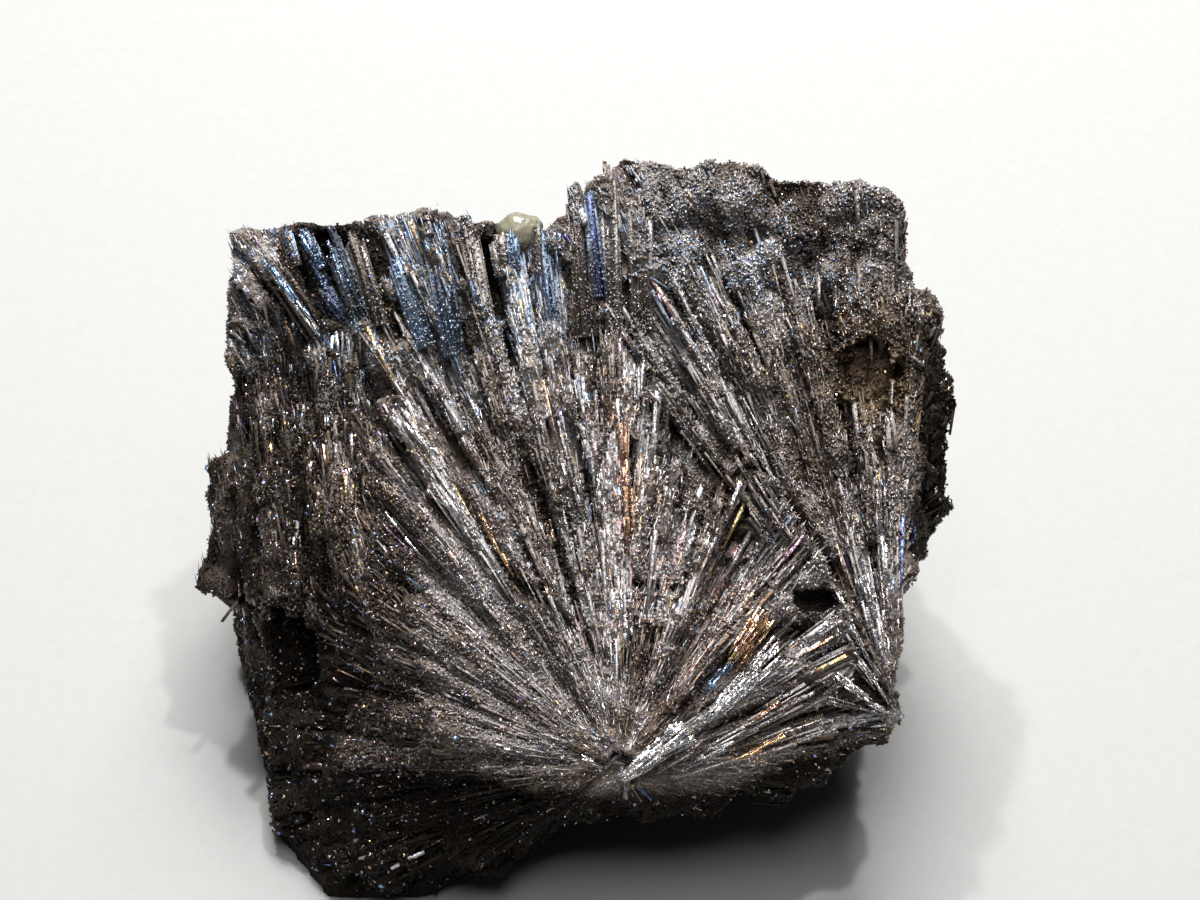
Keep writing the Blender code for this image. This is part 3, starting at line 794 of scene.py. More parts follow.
# %% Weathering
weather, taken, given = new_group(
    "weathered_patches", {"Lustre": ("Float", 0.5), "Amount": ("Float", 0.5)}, {"Mask": "Float"})
place = add(weather, "TexCoord").outputs["Object"]
broad = add(weather, "TexNoise", {"Vector": place, "Scale": 260.0, "Detail": 5.0, "Roughness": 0.7})
dull = add(weather, "Math", {0: 1.0, 1: taken["Lustre"]}, operation="SUBTRACT")
summed = add(weather, "Math", {0: dull.outputs[0], 1: taken["Amount"], 2: broad.outputs["Fac"]},
             operation="MULTIPLY_ADD")
soft = add(weather, "MapRange", {
    "Value": summed.outputs[0], "From Min": 0.55, "From Max": 0.95, "To Max": 0.8})
weather.links.new(soft.outputs[0], given["Mask"])
print("weathering:", len(weather.nodes), "nodes")

# %% [markdown]
# ## The stibnite finish
# All the stibnite pieces use the same build of material with their own values: how rough they are, how
# strong the lines and facets are, and how weathered. A crystal's own number, partly drawn by chance, sets how
# bright it is and carries the painted shade, and dark ones are tinted brown, in painted shade too. Dust and
# weathering make a face less metallic.

# %% Stibnite materials
# How bright the darkest and the brightest crystals are, and the brown tint of the darkest, which also browns
# the painted shade.
BRIGHTNESS_RANGE = (0.04, 1.5)
DARK_BROWN_TINT = (1.0, 0.83, 0.65)
LINE_DEPTH = 0.1 * MM


def stibnite_finish(name, roughness, lines, fineness, facet, tilt, dust, dust_colour, rare):
    """Make a dark metallic material with lines, facets, tarnish and dust."""
    finish = bpy.data.materials.new(name)
    finish.use_nodes = True
    tree = finish.node_tree
    shader = tree.nodes["Principled BSDF"]
    own, film, lustre = (add(tree, "Attribute", attribute_name=label).outputs["Fac"]
                         for label in FINISH_NUMBERS)
    stripes = add(tree, "Attribute", attribute_name="stripes").outputs["Vector"]
    facets = use(tree, glitter, {"Size": facet, "Tilt": tilt})
    colour = use(tree, tarnish, {"Film": film, "Cell": facets["Cell"], "Rare": rare})["Color"]
    mask = use(tree, weather, {"Lustre": lustre, "Amount": dust})["Mask"]
    darkest, brightest = BRIGHTNESS_RANGE
    bright = add(tree, "MapRange", {"Value": own, "To Min": darkest, "To Max": brightest}).outputs[0]
    dusty = blend_colours(tree, 0.3, (*dust_colour, 1.0), colour)
    colour = blend_colours(tree, mask, colour, dusty)
    colour = blend_colours(tree, 1.0, colour, bright, "MULTIPLY")
    pale = add(tree, "MapRange", {"Value": own, "From Max": 0.6}).outputs[0]
    tint = blend_colours(tree, pale, (*DARK_BROWN_TINT, 1.0), (1.0, 1.0, 1.0, 1.0))
    tree.links.new(blend_colours(tree, 1.0, colour, tint, "MULTIPLY"), shader.inputs["Base Color"])
    shader.inputs["Specular IOR Level"].default_value = 0.2
    spread = add(tree, "MapRange", {
        "Value": facets["Cell"], "To Min": roughness * 0.6, "To Max": roughness * 1.3})
    dulled = add(tree, "Math", {0: mask, 1: 0.35, 2: spread.outputs[0]}, operation="MULTIPLY_ADD")
    tree.links.new(dulled.outputs[0], shader.inputs["Roughness"])
    metal = add(tree, "MapRange", {"Value": mask, "To Min": 0.95, "To Max": 0.3})
    tree.links.new(metal.outputs[0], shader.inputs["Metallic"])
    height = use(tree, striation, {"Stripes": stripes, "Fineness": fineness})["Height"]
    bump = add(tree, "Bump", {
        "Height": height, "Strength": lines, "Distance": LINE_DEPTH, "Normal": facets["Normal"]})
    tree.links.new(bump.outputs["Normal"], shader.inputs["Normal"])
    return finish


# Name, roughness, strength and fineness of the lines, size in millimetres and tilt of the facets, dust and
# its colour, and the share of facets with a rare colour.
MASS_FINISH, BLADE_FINISH, DRUSE_FINISH, FEATURE_FINISH = (stibnite_finish(*row) for row in (
    ("stibnite_mass", 0.4, 0.7, 4.0, 0.14, 1.1, 0.8, (0.20, 0.18, 0.16), 0.04),
    ("stibnite_blades", 0.34, 0.7, 9.0, 0.15, 0.9, 0.7, (0.29, 0.265, 0.24), 0.05),
    ("stibnite_druse", 0.26, 0.1, 5.0, 0.12, 1.0, 0.65, (0.30, 0.27, 0.24), 0.07),
    ("stibnite_clean_blades", 0.22, 0.6, 12.0, 0.16, 0.5, 0.4, (0.22, 0.20, 0.18), 0.02),
))
print("stibnite finishes:", MASS_FINISH.name, BLADE_FINISH.name, DRUSE_FINISH.name, FEATURE_FINISH.name)

# %% [markdown]
# ## Where crystals can stand
# Every crystal starts from a spot on the mass, the middle of one of its faces. A population of crystals
# picks its spots by chance, more often where its weight is high.

# %% Spots on the mass
# How far a crystal may stand from the middle of its face, in millimetres.
LOOSE = 0.25

faces = len(mass.data.polygons)
loops = np.zeros(faces * 4, np.int32)
mass.data.loops.foreach_get("vertex_index", loops)
quads = loops.reshape(-1, 4)
areas = np.zeros(faces, np.float32)
mass.data.polygons.foreach_get("area", areas)
spots = massed[quads].mean(axis=1)
spot_normals = unit(normals[quads].mean(axis=1))


def pick(weight, total):
    """Pick spots by chance, in proportion to area and weight, and shift each a little sideways."""
    share = np.cumsum(areas * weight)
    chosen = np.minimum(np.searchsorted(share, between(0, share[-1], total)), faces - 1)
    loose = between(-LOOSE, LOOSE, (total, 3))
    normal = spot_normals[chosen]
    return spots[chosen] + loose - normal * (loose * normal).sum(axis=1, keepdims=True), normal


def wobble(directions, amount):
    """Turn each direction a little by chance."""
    return unit(directions + chance.normal(0, amount, directions.shape))


print("spots:", faces)

# %% [markdown]
# The weights are values from 0 to 1 for each spot. They say where the fan face, the shoulder and the rough
# sides are, and which places of the fan are bladed, sandy or cracked. Near the start of the fan it is
# always bladed.

# %% Weights of the spots
across, up, out = to_fan(spots).T
off_foot = ramp(spots[:, 2], 0.6, 1.6)
towards_fan = spot_normals @ OUTWARD
on_fan = ramp(towards_fan, 0.45, 0.75) * ramp(out, -6.5, -3.5)
spot_lumpy = lumpy_share(spots)
_, spot_groove, _, sandy = planks(spots)
# Three places are sandy whatever their planks are: the upper right, the lower left, and right of the middle.
sandy = np.maximum.reduce((
    sandy,
    0.85 * ramp(up, 24, 30) * ramp(across, 0, 3),
    0.85 * sandy_left(spots),
    0.9 * ramp(np.hypot((across - 5.6) / 3.4, (up - 10.5) / 5.0), 1.1, 0.7),
))
spot_groove = np.clip(np.maximum(0.8 * spot_groove, in_furrow(spots)) / GROOVE_DEPTH, 0, 1)
spot_crack = np.maximum(ribs_and_cracks(spots)[1], spot_groove) * on_fan
spot_crack *= 1 - SAND_OVER_CRACKS * sandy_left(spots)
near_focus = ramp(around_focus(spots)[1], 13, 5)
bladed = ramp(drift(spots, 4.0, 60) + 0.6 * drift(spots, 1.8, 61), -0.35, 0.35) * (1 - 0.75 * sandy)
bladed = np.maximum(bladed, near_focus)
spot_hollow = in_hollow(spots)
shoulder = ramp(across, -17, -21) * ramp(up, 11, 15) * ramp(up, 37, 34) * ramp(towards_fan, -0.2, 0.2)
sides = (1 - on_fan) * (1 - spot_hollow) * off_foot
print("fan face", int(areas @ on_fan / MM**2), "mm2, sides", int(areas @ sides / MM**2), "mm2")

# %% [markdown]
# ## Colour by place
# The tarnish isn't the same everywhere. It is copper and rose up the middle of the fan, blue along the
# broken top edge at the left, and ochre where it is stained at the right. The blue along the top edge is
# partly tarnish and partly painted reflection of bluish light from above. Each crystal draws its film by
# chance, and its place sets how likely each colour is.

# %% Film and lustre
# Centre across and up, radius, the film there, how much it varies, and the share of crystals that show it.
# The blue stains along the top edge, with films near 0.97, are partly tarnish and partly painted reflection
# of bluish light from above.
STAINS = [
    ((0.4, 23.0), (1.6, 7.0), 0.66, 0.04, 0.30), ((4.0, 11.0), (6.0, 8.0), 0.66, 0.05, 0.27),
    ((10.5, 10.5), (2.6, 2.6), 0.62, 0.05, 0.30), ((10.5, 1.6), (3.4, 1.4), 0.60, 0.04, 0.30),
    ((14.3, 3.3), (1.0, 0.8), 0.55, 0.02, 0.6), ((-22.0, 39.0), (9.0, 6.0), 0.96, 0.04, 0.85),
    ((-8.0, 39.0), (8.0, 6.0), 0.97, 0.04, 0.65), ((2.0, 42.0), (8.0, 6.0), 0.97, 0.04, 0.4),
    ((13.0, 41.0), (10.0, 4.5), 0.97, 0.04, 0.35), ((19.9, 31.2), (4.0, 4.0), 0.505, 0.04, 0.8),
    ((9.6, 17.7), (1.6, 1.6), 0.84, 0.05, 0.2), ((-22.0, 20.0), (7.0, 9.0), 0.46, 0.03, 0.4),
    ((25.0, 26.0), (2.0, 8.0), 0.52, 0.03, 0.3), ((-18.0, 36.2), (1.8, 3.4), 0.47, 0.04, 0.6),
]
# Up to this film a stain is brown, and lies on the mass too.
THICKEST_BROWN = 0.51
# The film of the other crystals, and how much it varies.
BARE_FILM = 0.26
BARE_RANGE = 0.12
# A few crystals anywhere have a film from this range.
STRAY_SHARE = 0.02
STRAY_FILM = (0.52, 1.0)


def coloured(points):
    """Draw the film thickness of crystals at these points."""
    total = len(points)
    film = BARE_FILM + BARE_RANGE * (0.4 * drift(points, 2.2, 21) + 1.2 * (0.5 - planks(points)[2])
                                     + chance.normal(0, 0.5, total))
    film = np.clip(film, 0.02, 0.5)
    stray = chance.random(total) < STRAY_SHARE
    film = np.where(stray, between(*STRAY_FILM, total), film)
    places = to_fan(points)
    for centre, radii, thickness, spread, share in STAINS:
        away = (((places[:, :2] - centre) / radii) ** 2).sum(axis=1)
        takes = chance.random(total) < share * np.exp(-away)
        film = np.where(takes, thickness + chance.normal(0, spread, total), film)
    return np.clip(film, 0.0, 1.0)


def shining(points):
    """Draw the lustre of crystals at these points; neighbours are alike."""
    near = 0.5 + 0.5 * drift(points, 3.5, 22)
    return np.clip(0.05 + 0.8 * (0.5 * near + 0.5 * chance.random(len(points))), 0, 1)


print("stains:", len(STAINS))

# %% [markdown]
# ## Painted shade and streaks
# Painted shade darkens the underside, the flanks, and the pits and hollows; at the left side it is partly a
# darker coating. The left shoulder has pale and dark streaks along its upright fibres.

# %% Painted shade and streaks
# The lower edge of the lit face: places across, and how far up the edge is there.
LOWER_EDGE = ((-16.0, -9.0, -2.0, 3.0, 9.0, 13.6, 17.0, 21.5), (1.0, -0.1, -1.5, -1.3, -0.9, 1.6, 2.2, 3.2))
# Streaks are drawn out upwards by this much, in two sizes.
STREAK_STRETCH = (1.0, 0.4, 1.0)
STREAK_SIZES = (2.4, 1.0)
PALE_STREAK = 0.8
DARK_STREAK = 0.65


def painted_shade(points):
    """Say how much painted shade darkens these points, from 0 to 1; at the left side it is partly a darker
    coating.
    """
    across, up, out = to_fan(points).T
    underside = 0.93 * ramp(out, -3.0, -7.0) * ramp(points[:, 1], 12, 0) * ramp(up, 13, 7)
    lower_edge = 0.97 * ramp(up - np.interp(across, *LOWER_EDGE), 0.3, -1.3)
    right_flank = 0.92 * ramp(across, 22.4, 24.4) * ramp(up, 39, 34)
    left_side = 0.61 * ramp(left_lead(points), -14, -18) * ramp(up, 35, 30)
    right_fan = 0.22 * ramp(across, 4, 9) * ramp(up, 14, 20) * ramp(up, 38, 34)
    ochre_pocket = 0.30 * ramp(np.hypot(across - 20.4, up - 31.0), 4.0, 2.0)
    crown_pit = 0.50 * ramp(np.hypot((across - 18.0) / 1.7, (up - 42.0) / 1.3), 1.3, 0.8)
    left_hollows = 0.95 * in_hollow(points) * ramp(out, -0.6, -1.6) * ramp(across, 3, 1)
    return np.maximum.reduce((
        underside, lower_edge, right_flank, left_side, right_fan, ochre_pocket, crown_pit, left_hollows))


def streaked(points):
    """Return how much lighter or darker the streaks of the left shoulder make each point."""
    places = to_fan(points)
    stretched = places * STREAK_STRETCH
    wide, narrow = STREAK_SIZES
    streaks = drift(stretched, wide, 90) + 0.7 * drift(stretched, narrow, 91)
    at_left = ramp(left_lead(points), -14, -18) * ramp(places[:, 1], 8, 12)
    return 1 + (PALE_STREAK * ramp(streaks, 0.0, 0.6) - DARK_STREAK * ramp(streaks, 0.1, -0.5)) * at_left


print("painted_shade_share on average:", painted_shade(spots).mean().round(2))

# %% [markdown]
# ## Brightness
# A crystal's brightness comes from the tone of its plank, the painted shade and the streak that it is in, and
# chance. Painted shade darkens the gaps between the lumps of druse, and the lower left hollow has a pale rim.

# %% Brightness
# The least brightness, and what chance and the plank's tone add to it.
LEAST_BRIGHT = 0.18
CHANCE_BRIGHT = 0.24
TONE_BRIGHT = 0.46
# How much painted shade darkens the gaps between the lumps of druse, and what the rim of the lower left
# hollow adds.
PAINTED_GAP_SHADE = 0.75
RIM_BRIGHT = 0.35


def pale_rim(points):
    """Say which points are on the pale rim above the lower left hollow, the last one in the list."""
    *shape, _ = HOLLOWS[-1]
    places = to_fan(points)
    away = np.linalg.norm((places - shape[:3]) / shape[3:], axis=1)
    return ramp(np.abs(away - 1.2), 0.35, 0.1) * ramp(places[:, 1], shape[1] - 1, shape[1] + 2)


def brightness(points):
    """Draw how bright crystals are at these points, with their painted shade."""
    lumpy = lumpy_share(points)
    tone = planks(points)[2]
    tone += (0.5 - tone) * 0.7 * np.maximum(lumpy, sandy_left(points))
    drawn = LEAST_BRIGHT + CHANCE_BRIGHT * chance.random(len(points)) + TONE_BRIGHT * tone
    drawn = drawn * (1 - painted_shade(points)) * streaked(points)
    rough_places = np.maximum(lumpy, ramp(to_fan(points)[:, 2], -3, -5))
    drawn *= 1 - PAINTED_GAP_SHADE * rough_places * ramp(lumpy_relief(points), 0.35, -0.6)
    return drawn + RIM_BRIGHT * pale_rim(points)


print("brightest by tone and chance:", round(LEAST_BRIGHT + CHANCE_BRIGHT + TONE_BRIGHT, 2))

# %% [markdown]
# Small crystals sparkle: a few have a clean face that happens to throw the light back. Some of these have a
# tarnish colour too, more of them at the left edge. One function gathers all that a population needs.

# %% Crystals with their values
SPARKLE_SHARE = 0.07
# From the width in millimetres that never sparkles to the one that always may.
SPARKLE_WIDTHS = (0.5, 0.3)
TINTED_SHARE = 0.4
TINTED_FILM = (0.53, 0.95)


def describe(root, tip, facing, width, flatness, taper, film=None, lustre=None):
    """Gather what a population of crystals needs, with its own chance values."""
    total = len(root)
    middle = (root + tip) / 2
    own = brightness(middle)
    film = coloured(middle) if film is None else film
    lustre = shining(middle) if lustre is None else lustre
    glinting = SPARKLE_SHARE * (1 + 1.5 * ramp(left_lead(middle), -14, -18)) * ramp(width, *SPARKLE_WIDTHS)
    sparkles = chance.random(total) < glinting
    tinted = sparkles & (chance.random(total) < TINTED_SHARE)
    return {
        "root": root, "tip": tip, "facing": facing, "width": width, "thick": width * flatness,
        "taper": taper, "turn": between(-0.7, 0.7, total),
        "own": np.where(sparkles, between(0.6, 1.0, total), own),
        "film": np.where(tinted, between(*TINTED_FILM, total), film),
        "lustre": np.where(sparkles, between(0.85, 1.0, total), lustre),
    }


def gathered(populations):
    """Join several populations into one."""
    return {key: np.concatenate([p[key] for p in populations]) for key in populations[0]}


print("share of small crystals that sparkle:", SPARKLE_SHARE)

# %% [markdown]
# The mass takes its colours from the same rules. Painted shade makes it darkest in the grooves and cracks,
# and it is brown where one of the brown stains lies on it.

# %% Colours of the mass
PAINTED_GROOVE_SHADE = 0.85
MASS_FILM = 0.38

deep = np.clip(groove + CRACK_DEPTH * crack, 0, 1) * (1 - SAND_OVER_CRACKS * sanded)
mass_shaded_brightness = (0.2 + 0.45 * tone + 0.15 * drift(plain, 1.0, 8)) * (1 - PAINTED_GROOVE_SHADE * deep)
mass_shaded_brightness = mass_shaded_brightness * (1 - painted_shade(massed)) * streaked(massed)
mass_film = MASS_FILM + 0.1 * drift(plain, 3.0, 9)
for centre, radii, thickness, _, share in STAINS:
    if thickness < THICKEST_BROWN:
        away = (((to_fan(massed)[:, :2] - centre) / radii) ** 2).sum(axis=1)
        mass_film += (thickness - mass_film) * np.minimum(1.0, 2 * share * np.exp(-away))
mass_lustre = 0.25 + 0.3 * drift(plain, 2.0, 10)
for label, values in zip(FINISH_NUMBERS, (mass_shaded_brightness, mass_film, mass_lustre)):
    mass.data.attributes.new(label, "FLOAT", "POINT").data.foreach_set("value", values.astype(np.float32))
angle, distance = around_focus(plain)
layer = mass.data.attributes.new("stripes", "FLOAT_VECTOR", "POINT")
layer.data.foreach_set("vector", np.column_stack((angle / 4, distance, angle)).astype(np.float32).ravel())
mass.data.materials.clear()
mass.data.materials.append(MASS_FINISH)
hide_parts("stibnite_cluster")
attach(mass, "root")
print("brightness of the mass:", mass_shaded_brightness.min().round(2), "to", mass_shaded_brightness.max().round(2))

# %% [markdown]
# ## The long blades of the fan
# These are the crystals one sees first: straight, thin, and all pointing away from the start of their fan.
# A ray cast onto the mass finds the height of the face under each end, so that a blade lies on it.

# %% Laying crystals on the face
# A ray starts this far out of the fan face and reaches this far, in millimetres.
ABOVE = 9.0
RAY_REACH = 14.0
# A blade is left out when it would bridge a deeper gap, or be steeper than this to the face.
BRIDGED = 0.9
STEEPEST = 0.6

ground = BVHTree.FromPolygons([Vector(p) for p in massed], quads.tolist())


def height_of_face(points):
    """Return how far out of the fan face the mass is under each point, or nan beyond its edge."""
    heights = np.full(len(points), np.nan)
    down = Vector(-OUTWARD)
    for spot, start in enumerate(points + OUTWARD * ABOVE):
        hit = ground.ray_cast(Vector(start), down, RAY_REACH)[0]
        if hit is not None:
            heights[spot] = to_fan(np.array(hit)[None])[0, 2]
    return heights


def lie_on_face(root, tip, sunk, proud):
    """Set roots and tips at the height of the face, and drop crystals that reach beyond it."""
    placed = []
    for points, lift in ((root, -sunk), (tip, proud)):
        places = to_fan(points)
        places[:, 2] = height_of_face(points) + lift
        placed.append(from_fan(places))
    kept = np.isfinite(placed[0]).all(axis=1) & np.isfinite(placed[1]).all(axis=1)
    placed = [np.nan_to_num(points) for points in placed]
    kept &= in_corner_fan(root) == in_corner_fan(tip)
    middle = (placed[0] + placed[1]) / 2
    kept &= np.abs(to_fan(middle)[:, 2] - height_of_face(middle)) < BRIDGED
    kept &= np.abs((placed[1] - placed[0]) @ OUTWARD) < STEEPEST * np.linalg.norm(tip - root, axis=1)
    return placed[0], placed[1], kept


print("faces that a ray can hit:", len(quads))

# %% [markdown]
# Three populations of blades lie on the face: long ones and short ones on the bladed places of both fans,
# and short ones on the left shoulder. Most blades are much shorter than the longest, and those near the
# start of the fan are thinner.

# %% Fan blades


def fan_blades(name, weight, total, longest, widest, proud, jitter):
    """Lay long blades on the fan face."""
    root, _ = pick(weight, total)
    length = longest * (0.15 + 0.85 * chance.random(total) ** 2)
    heading = wobble(fibre_direction(root), jitter)
    tip = root + heading * length[:, None]
    root, tip, kept = lie_on_face(root, tip, between(0.15, 0.5, total), between(0.0, proud, total))
    width = widest * (0.3 + 0.7 * chance.random(total)) * (0.5 + 0.5 * length / longest)
    width *= 0.45 + 0.55 * ramp(around_focus(root)[1], 2, 14)
    crystals = describe(root, tip, np.tile(OUTWARD, (total, 1)), width, between(0.5, 0.9, total),
                        between(0.3, 0.6, total))
    crystals = {key: values[kept] for key, values in crystals.items()}
    grow(name, crystals, blade_arrays, BLADE_FINISH)
    return crystals


fan_area = on_fan * (1 - 0.85 * spot_lumpy) * (1 - 0.92 * spot_crack) * (1 - spot_hollow)
long_blades = fan_blades("fan_blades_long", fan_area * bladed, 3800, 7.5, 0.4, 0.2, 0.03)
fan_blades("shoulder_blades", on_fan * spot_lumpy * ramp(across, -12, -15), 2600, 3.4, 0.34, 0.3, 0.14)
short_blades = fan_blades("fan_blades_short", fan_area * (0.3 + 0.7 * bladed), 6000, 3.2, 0.26, 0.25, 0.08)

# %% [markdown]
# ## The broken fibres between them
# The gaps between the blades are full of short splinters and crystal grains. They are what gives the face
# its sparkle. Splinters lean out of the surface along the fibres, and only their last part stands free.

# %% Splinters


def splinters(name, weight, total, lengths, widths, outwards, proud, jitter):
    """Scatter needles that point along the fibres and a little out of the surface."""
    spot, normal = pick(weight, total)
    heading = wobble(unit(fibre_direction(spot) + normal * between(*outwards, total)[:, None]), jitter)
    length = between(*lengths, total) * (0.5 + 0.5 * chance.random(total))
    rise = np.maximum((heading * normal).sum(axis=1), 0.05)
    free = np.minimum(0.75 * length, between(0.05, proud, total) / rise)[:, None]
    root = spot - heading * (length[:, None] - free) - normal * 0.08
    tip = spot + heading * free
    crystals = describe(root, tip, normal, between(*widths, total), between(0.5, 1.0, total), np.ones(total))
    grow(name, crystals, grain_arrays, DRUSE_FINISH)


splinters("fan_splinters", fan_area, 13000, (0.4, 1.8), (0.10, 0.22), (-0.05, 0.3), 0.35, 0.15)

# %% [markdown]
# Grains lie any way, on the mass and on the blades that are already there. They are densest where the fan
# is sandy, and they make the druse of the crown, the left edge and the hollows.

# %% Grains


def strew(name, spot, normal, sizes, film=None):
    """Scatter grains over these spots, lying any way."""
    total = len(spot)
    heading = unit(chance.normal(0, 1, (total, 3)) + normal * 0.6)
    size = sizes[0] + (sizes[1] - sizes[0]) * chance.random(total) ** 2
    root = spot - heading * (size * 0.4)[:, None] + normal * 0.05
    tip = root + heading * size[:, None]
    crystals = describe(root, tip, normal, size * between(0.6, 1.0, total), between(0.6, 1.0, total),
                        np.ones(total), film)
    grow(name, crystals, grain_arrays, DRUSE_FINISH)


def grains_on(name, weight, total, sizes):
    """Scatter grains over the mass."""
    strew(name, *pick(weight, total), sizes)


def grains_over(name, blades, total, sizes, own_film):
    """Scatter grains along the upper faces of blades that are already there."""
    axis = blades["tip"] - blades["root"]
    reach = np.cumsum(np.linalg.norm(axis, axis=1) * blades["width"])
    host = np.minimum(np.searchsorted(reach, between(0, reach[-1], total)), len(reach) - 1)
    facing = blades["facing"][host]
    side = unit(np.cross(axis[host], facing)) * (blades["width"][host] * between(-0.5, 0.5, total))[:, None]
    spot = blades["root"][host] + axis[host] * chance.random((total, 1)) + side
    film = np.clip(blades["film"][host] + chance.normal(0, 0.03, total), 0, 1) if own_film else None
    strew(name, spot + facing * (blades["thick"][host] * 0.4)[:, None], facing, sizes, film)


grains_on("fan_grains", fan_area * (0.15 + 0.85 * sandy) * (1 - 0.8 * near_focus), 27000, (0.15, 0.42))
grains_on("fan_dust", fan_area * (0.4 + 0.6 * sandy), 28000, (0.1, 0.22))
grains_over("blade_dust", gathered([long_blades, short_blades]), 12000, (0.1, 0.22), False)
grains_on("lumpy_druse", spot_lumpy * on_fan * off_foot, 24000, (0.14, 0.42))
grains_on("hollow_druse", spot_hollow * off_foot, 8000, (0.15, 0.45))

# %% [markdown]
# ## The back, the sides and the shoulder
# Here the chunk broke across the fans, and the blades end in steps. Their ends point away from the start
# of the fan and stand a little out of the surface. The left shoulder shows its fibres from the side.

# %% Broken ends


def broken_ends(name, weight, total, lengths, widths, proud, jitter):
    """Set blade ends into the surface, so that only the last part of each stands out."""
    spot, normal = pick(weight, total)
    fibre = fibre_direction(spot)
    rising = (fibre * normal).sum(axis=1, keepdims=True)
    heading = wobble(unit(fibre + normal * (0.55 - 0.3 * rising)), jitter)
    length = between(*lengths, total)
    tip = spot + heading * between(*proud, total)[:, None]
    root = tip - heading * length[:, None]
    crystals = describe(root, tip, normal, between(*widths, total), between(0.4, 0.9, total),
                        between(0.6, 0.9, total))
    grow(name, crystals, blade_arrays, BLADE_FINISH)


# Near the right-hand corner the chunk is too thin for blade ends, which would come out at the other side.
thick_enough = ramp(np.linalg.norm(spots - CORNER_FOCUS, axis=1), 8, 13)
side_area = sides * (1 - shoulder) * thick_enough
broken_ends("side_ends", side_area, 3800, (1.5, 3.5), (0.22, 0.55), (-0.1, 0.25), 0.15)
splinters("side_splinters", sides, 4000, (0.5, 1.5), (0.12, 0.26), (-0.1, 0.2), 0.18, 0.25)
grains_on("side_grains", sides, 32000, (0.16, 0.5))
splinters("shoulder_fibres", shoulder * off_foot, 1500, (0.8, 3.0), (0.12, 0.3), (0.0, 0.1), 0.16, 0.1)
